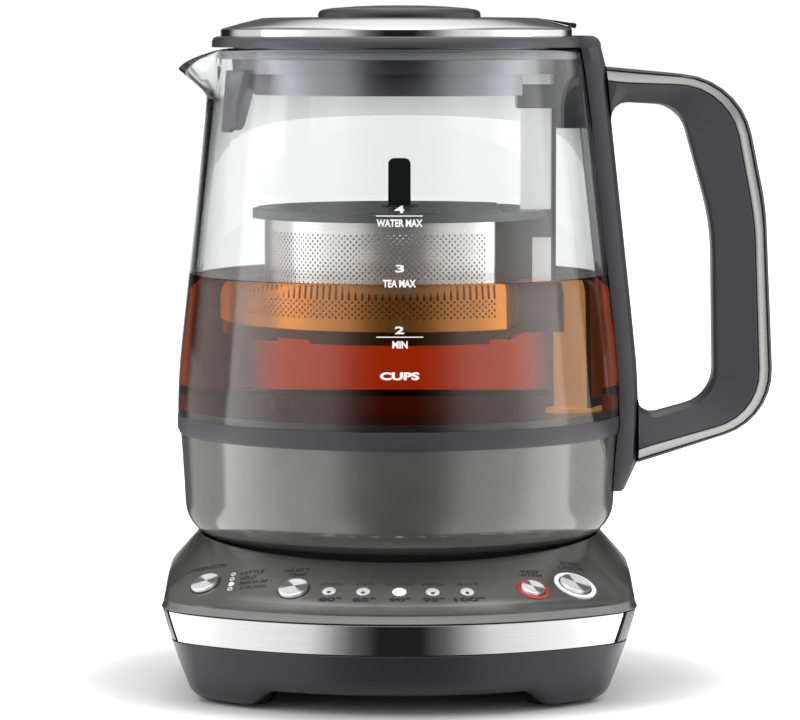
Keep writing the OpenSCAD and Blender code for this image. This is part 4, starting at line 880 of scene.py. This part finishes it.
def make_button(node, mat, spot, r):
    """A dished button that stands higher than its travel, in a dark gap."""
    dish = [(0.2, -1.6), (r, -1.6), (r, 0.8), (r - 0.1, 0.97), (r - 0.3, 1.05), (r - 0.9, 1.05), (r - 1.2, 1.0),
            (0.5 * r, 0.95), (0.2, 0.93)]
    verts, faces = rings_mesh(lathe(spot, dish))
    build(node + "_skin", verts, faces, mat, frame["nodes"][node]["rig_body"], sharp=50, nodes=(node,))
    gap = [(0.2, -0.5), (r + 0.55, -0.5), (r + 0.5, 0.06), (0.2, 0.06)]
    verts, faces = rings_mesh(lathe(spot, gap))
    build(node + "_gap", verts, faces, MATERIALS["black_plastic"], "base", slot="black_plastic")


def make_ring(node, spot, inner, outer):
    section = [(inner, -1), (outer, -1), (outer, 0.1), (outer - 0.3, 0.3), (inner + 0.3, 0.3), (inner, 0.1)]
    verts, faces = rings_mesh(lathe(spot, section), closed=True)
    build(node + "_skin", verts, faces, finish_of(node), "base", sharp=50, nodes=(node,))


def make_lights():
    """Small domes. The one at 90 degrees and the one at medium strength are lit, the others have a dark dot of
    painted shade low on the dome.
    """
    off, lit, painted_shade_dots = ([], []), ([], []), ([], [])

    def add(group, rings):
        verts, faces = group
        more, polygons = rings_mesh(rings)
        faces.extend(tuple(len(verts) + i for i in f) for f in polygons)
        verts.extend(more)

    spots = [(spot, TEMPERATURE_LIGHT_R) for spot in TEMPERATURE_LIGHTS]
    spots += [(spot, STRENGTH_LIGHT_R) for spot in STRENGTH_LIGHTS]
    for spot, r in spots:
        dome = [(0.1, -1), (r, -1), (r, 0.05), (0.85 * r, 0.3), (0.5 * r, 0.5), (0.1, 0.55)]
        add(lit if spot in LIT_LIGHTS else off, lathe(spot, dome, 24))
        # Each unlit dome gets a dark dot set below its middle: painted shade on the dome's lower side
        if spot not in LIT_LIGHTS:
            shade_dot = [(0.05, 0.2), (0.36 * r, 0.2), (0.3 * r, 0.5), (0.05, 0.55)]
            add(painted_shade_dots, lathe((spot[0], spot[1] - 0.42 * r), shade_dot, 16))
    for name, group, mat, nodes in (("lights_off", off, MATERIALS["light_lens"], ("indicator_lights",)),
                                    ("lights_lit", lit, lit_material(), ("indicator_lights",)),
                                    ("light_painted_shade", painted_shade_dots, MATERIALS["dark_plastic"], ())):
        build(name, *group, mat, "base", sharp=60, nodes=nodes, slot="light_lens")


# ---- Lid ----

def make_knob():
    profile = [(0.3, 216.4), (26.0, 216.4), (26.6, 217.0), (26.7, 218.6), (26.3, 219.6), (25.2, 220.2),
               (22.0, 220.7), (14.0, 221.3), (7.0, 221.55), (0.3, 221.6)]
    rings = [[round_point(a, r, z) for a in range(0, 360, 4)] for r, z in profile]
    verts, faces = rings_mesh(rings)
    build("lid_knob_skin", verts, faces, MATERIALS["black_plastic"], frame["nodes"]["lid_knob"]["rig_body"],
          sharp=50, nodes=("lid_knob",))


# ---- Lettering ----

def letters(text, bold):
    """Outline of a word as a thin solid: width and height from -0.5 to 0.5, and its depth from 0 to 1."""
    data = bpy.data.curves.new("word", "FONT")
    data.body = text
    data.offset = bold
    data.extrude = 0.5
    data.resolution_u = 3
    obj = bpy.data.objects.new("word", data)
    bpy.context.scene.collection.objects.link(obj)
    bpy.context.view_layer.update()
    mesh = bpy.data.meshes.new_from_object(obj.evaluated_get(bpy.context.evaluated_depsgraph_get()))
    points = [v.co.copy() for v in mesh.vertices]
    faces = [tuple(p.vertices) for p in mesh.polygons]
    bpy.data.objects.remove(obj)
    bpy.data.curves.remove(data)
    bpy.data.meshes.remove(mesh)
    x0, x1 = min(p.x for p in points), max(p.x for p in points)
    y0, y1 = min(p.y for p in points), max(p.y for p in points)
    return [((p.x - x0) / (x1 - x0) - 0.5, (p.y - y0) / (y1 - y0) - 0.5, p.z + 0.5) for p in points], faces


def bar(width):
    """A thin line in the letters' measure."""
    n = max(2, round(width / 1.5))
    points = [(i / n - 0.5, y, z) for i in range(n + 1) for y, z in ((-0.5, 0), (0.5, 0), (0.5, 1), (-0.5, 1))]
    faces = [(i * 4 + j, i * 4 + 4 + j, i * 4 + 4 + (j + 1) % 4, i * 4 + (j + 1) % 4)
             for i in range(n) for j in range(4)]
    return points, faces + [(0, 1, 2, 3), (4 * n + 3, 4 * n + 2, 4 * n + 1, 4 * n)]


def join_words(name, words, where, mat, body, slot):
    """All words of a table as one piece, put on their surface by the function."""
    verts, faces = [], []
    for word in words:
        points, polygons = bar(word[3]) if word[0] == "-" else letters(word[0], word[-1])
        faces += [tuple(len(verts) + i for i in f) for f in polygons]
        verts += [where(word, *p) for p in points]
    build(name, verts, faces, mat, body, sharp=20, slot=slot)


# Word or "-" for a line, place across, height, width, letter height, boldness
CUP_MARKS = [
    ("4", 0.03, 157.52, 3.1, 2.3, 0.03), ("-", 0.0, 155.44, 14.8, 0.3, 0),
    ("WATER MAX", 0.08, 153.2, 14.5, 2.4, 0.035),
    ("3", 0.13, 139.03, 2.8, 2.4, 0.03), ("TEA MAX", 0.03, 134.35, 10.4, 2.4, 0.035),
    ("2", 0.06, 119.82, 2.9, 2.4, 0.03), ("-", 0.13, 117.66, 14.7, 0.3, 0),
    ("MIN", 0.19, 115.29, 4.8, 2.3, 0.035), ("CUPS", 0.09, 105.48, 12.4, 2.5, 0.045)]

# Word, place on the deck's plan, turn, width, letter height, boldness
DECK_WORDS = [
    ("STRENGTH", -61.5, -48.9, -26, 13.5, 2.4, 0.02), ("KETTLE", -46.6, -61.2, -17, 8.0, 1.8, 0.015),
    ("MILD", -47.7, -63.7, -18, 5.4, 1.8, 0.015), ("MEDIUM", -46.1, -66.9, -17, 9.0, 1.7, 0.015),
    ("STRONG", -46.1, -69.6, -18, 9.0, 1.7, 0.015), ("SELECT", -32.2, -66.0, -12, 8.4, 1.7, 0.02),
    ("TEMP", -32.0, -68.5, -13, 6.1, 1.6, 0.02), ("GREEN", -21.4, -76.1, -11, 7.0, 1.3, 0.0),
    ("WHITE", -11.0, -77.7, -6, 6.1, 1.3, 0.0), ("OOLONG", 0.1, -78.3, 0, 8.2, 1.3, 0.0),
    ("HERBAL", 10.8, -77.8, 5, 6.9, 1.3, 0.0), ("BLACK", 21.7, -76.1, 12, 7.0, 1.3, 0.0),
    ("80°", -21.6, -83.8, -11, 7.3, 2.0, 0.05), ("85°", -11.0, -85.4, -5, 7.2, 2.0, 0.05),
    ("90°", 0.2, -86.0, 0, 7.0, 2.0, 0.05), ("95°", 10.8, -85.5, 5, 7.0, 2.0, 0.05),
    ("100°", 21.9, -83.7, 12, 10.2, 2.0, 0.05), ("KEEP", 41.4, -63.4, 21, 6.1, 1.6, 0.02),
    ("WARM", 41.5, -65.3, 20, 7.8, 1.5, 0.02), ("START", 54.6, -51.4, 26, 7.5, 1.9, 0.02),
    ("CANCEL", 54.5, -54.1, 25, 9.1, 1.8, 0.02)]


def on_glass(word, x, y, z):
    """A letter's point on the front of the glass, from just below its surface to just above."""
    across, height, width, letter_h = word[1:5]
    up = height + y * letter_h
    r = glass_r(up) - 0.01 + 0.07 * z
    return round_point(270 + math.degrees((across + x * width) / r), r, up)


def on_slope(word, x, y, z):
    """A letter's point on the deck, from just below its surface to just above."""
    word_x, word_y, turn, width, letter_h = word[1:6]
    along, up = x * width, y * letter_h
    px = word_x + along * cosd(turn) - up * sind(turn)
    py = word_y + along * sind(turn) + up * cosd(turn)
    return place(px, py, deck_height(px, py) - 0.02 + 0.08 * z)


# ---- The whole ----

scene = bpy.context.scene
scene.view_settings.view_transform = "Standard"
scene.cycles.max_bounces = 32
scene.cycles.transmission_bounces = 32
scene.cycles.glossy_bounces = 12

make_camera()
area_light("left_lamp", (-0.9, -0.5, 0.75), (0, 0, 0.1), 0.5, 1.3, 5)
area_light("right_lamp", (0.95, 0.25, 0.6), (0, 0, 0.12), 0.35, 1.2, 5)
area_light("top_lamp", (0, 0.1, 1.3), (0, 0, 0.1), 1.0, 0.8, 6)
make_world()
make_floor()
make_glass()
make_tea()
make_drum()
make_knob()
make_deck()
make_housing()
make_band("front_band_skin", "chrome_band", 220.0, 317.6, 1.0, 0.0)
make_band("rear_band_skin", "rear_band", -41.0, 218.7, -1.0, 0.1)
print_white = plastic("print_white", (0.9, 0.9, 0.9), 0.5, grain=0.05)
join_words("cup_marks", CUP_MARKS, on_glass, print_white, "jug", "white_lens")
print_black = plastic("print_black", (0.012, 0.012, 0.013), 0.5, grain=0.05)
join_words("deck_words", DECK_WORDS, on_slope, print_black, "base", "black_plastic")

BUTTONS = {"strength_button": (STRENGTH_SPOT, 4.7), "temperature_button": (TEMPERATURE_SPOT, 4.8),
           "warm_button": (WARM_SPOT, 3.8), "start_button": (START_SPOT, 5.0)}
button_painted_highlight = button_material()
for node_name, (button_spot, button_r) in BUTTONS.items():
    make_button(node_name, button_painted_highlight, button_spot, button_r)
make_ring("warm_light_ring", WARM_SPOT, 4.0, 5.3)
make_ring("start_light_ring", START_SPOT, 5.5, 7.0)
make_lights()

# The nodes that have a piece by now. Each other one gets a refined copy.
OWN = {"glass_jug", "basket_drum", "base_deck", "base_housing", "chrome_band", "rear_band", "indicator_lights",
       "warm_light_ring", "start_light_ring", "lid_knob", *BUTTONS}
for node_name in frame["nodes"]:
    if node_name not in OWN:
        refine(node_name)
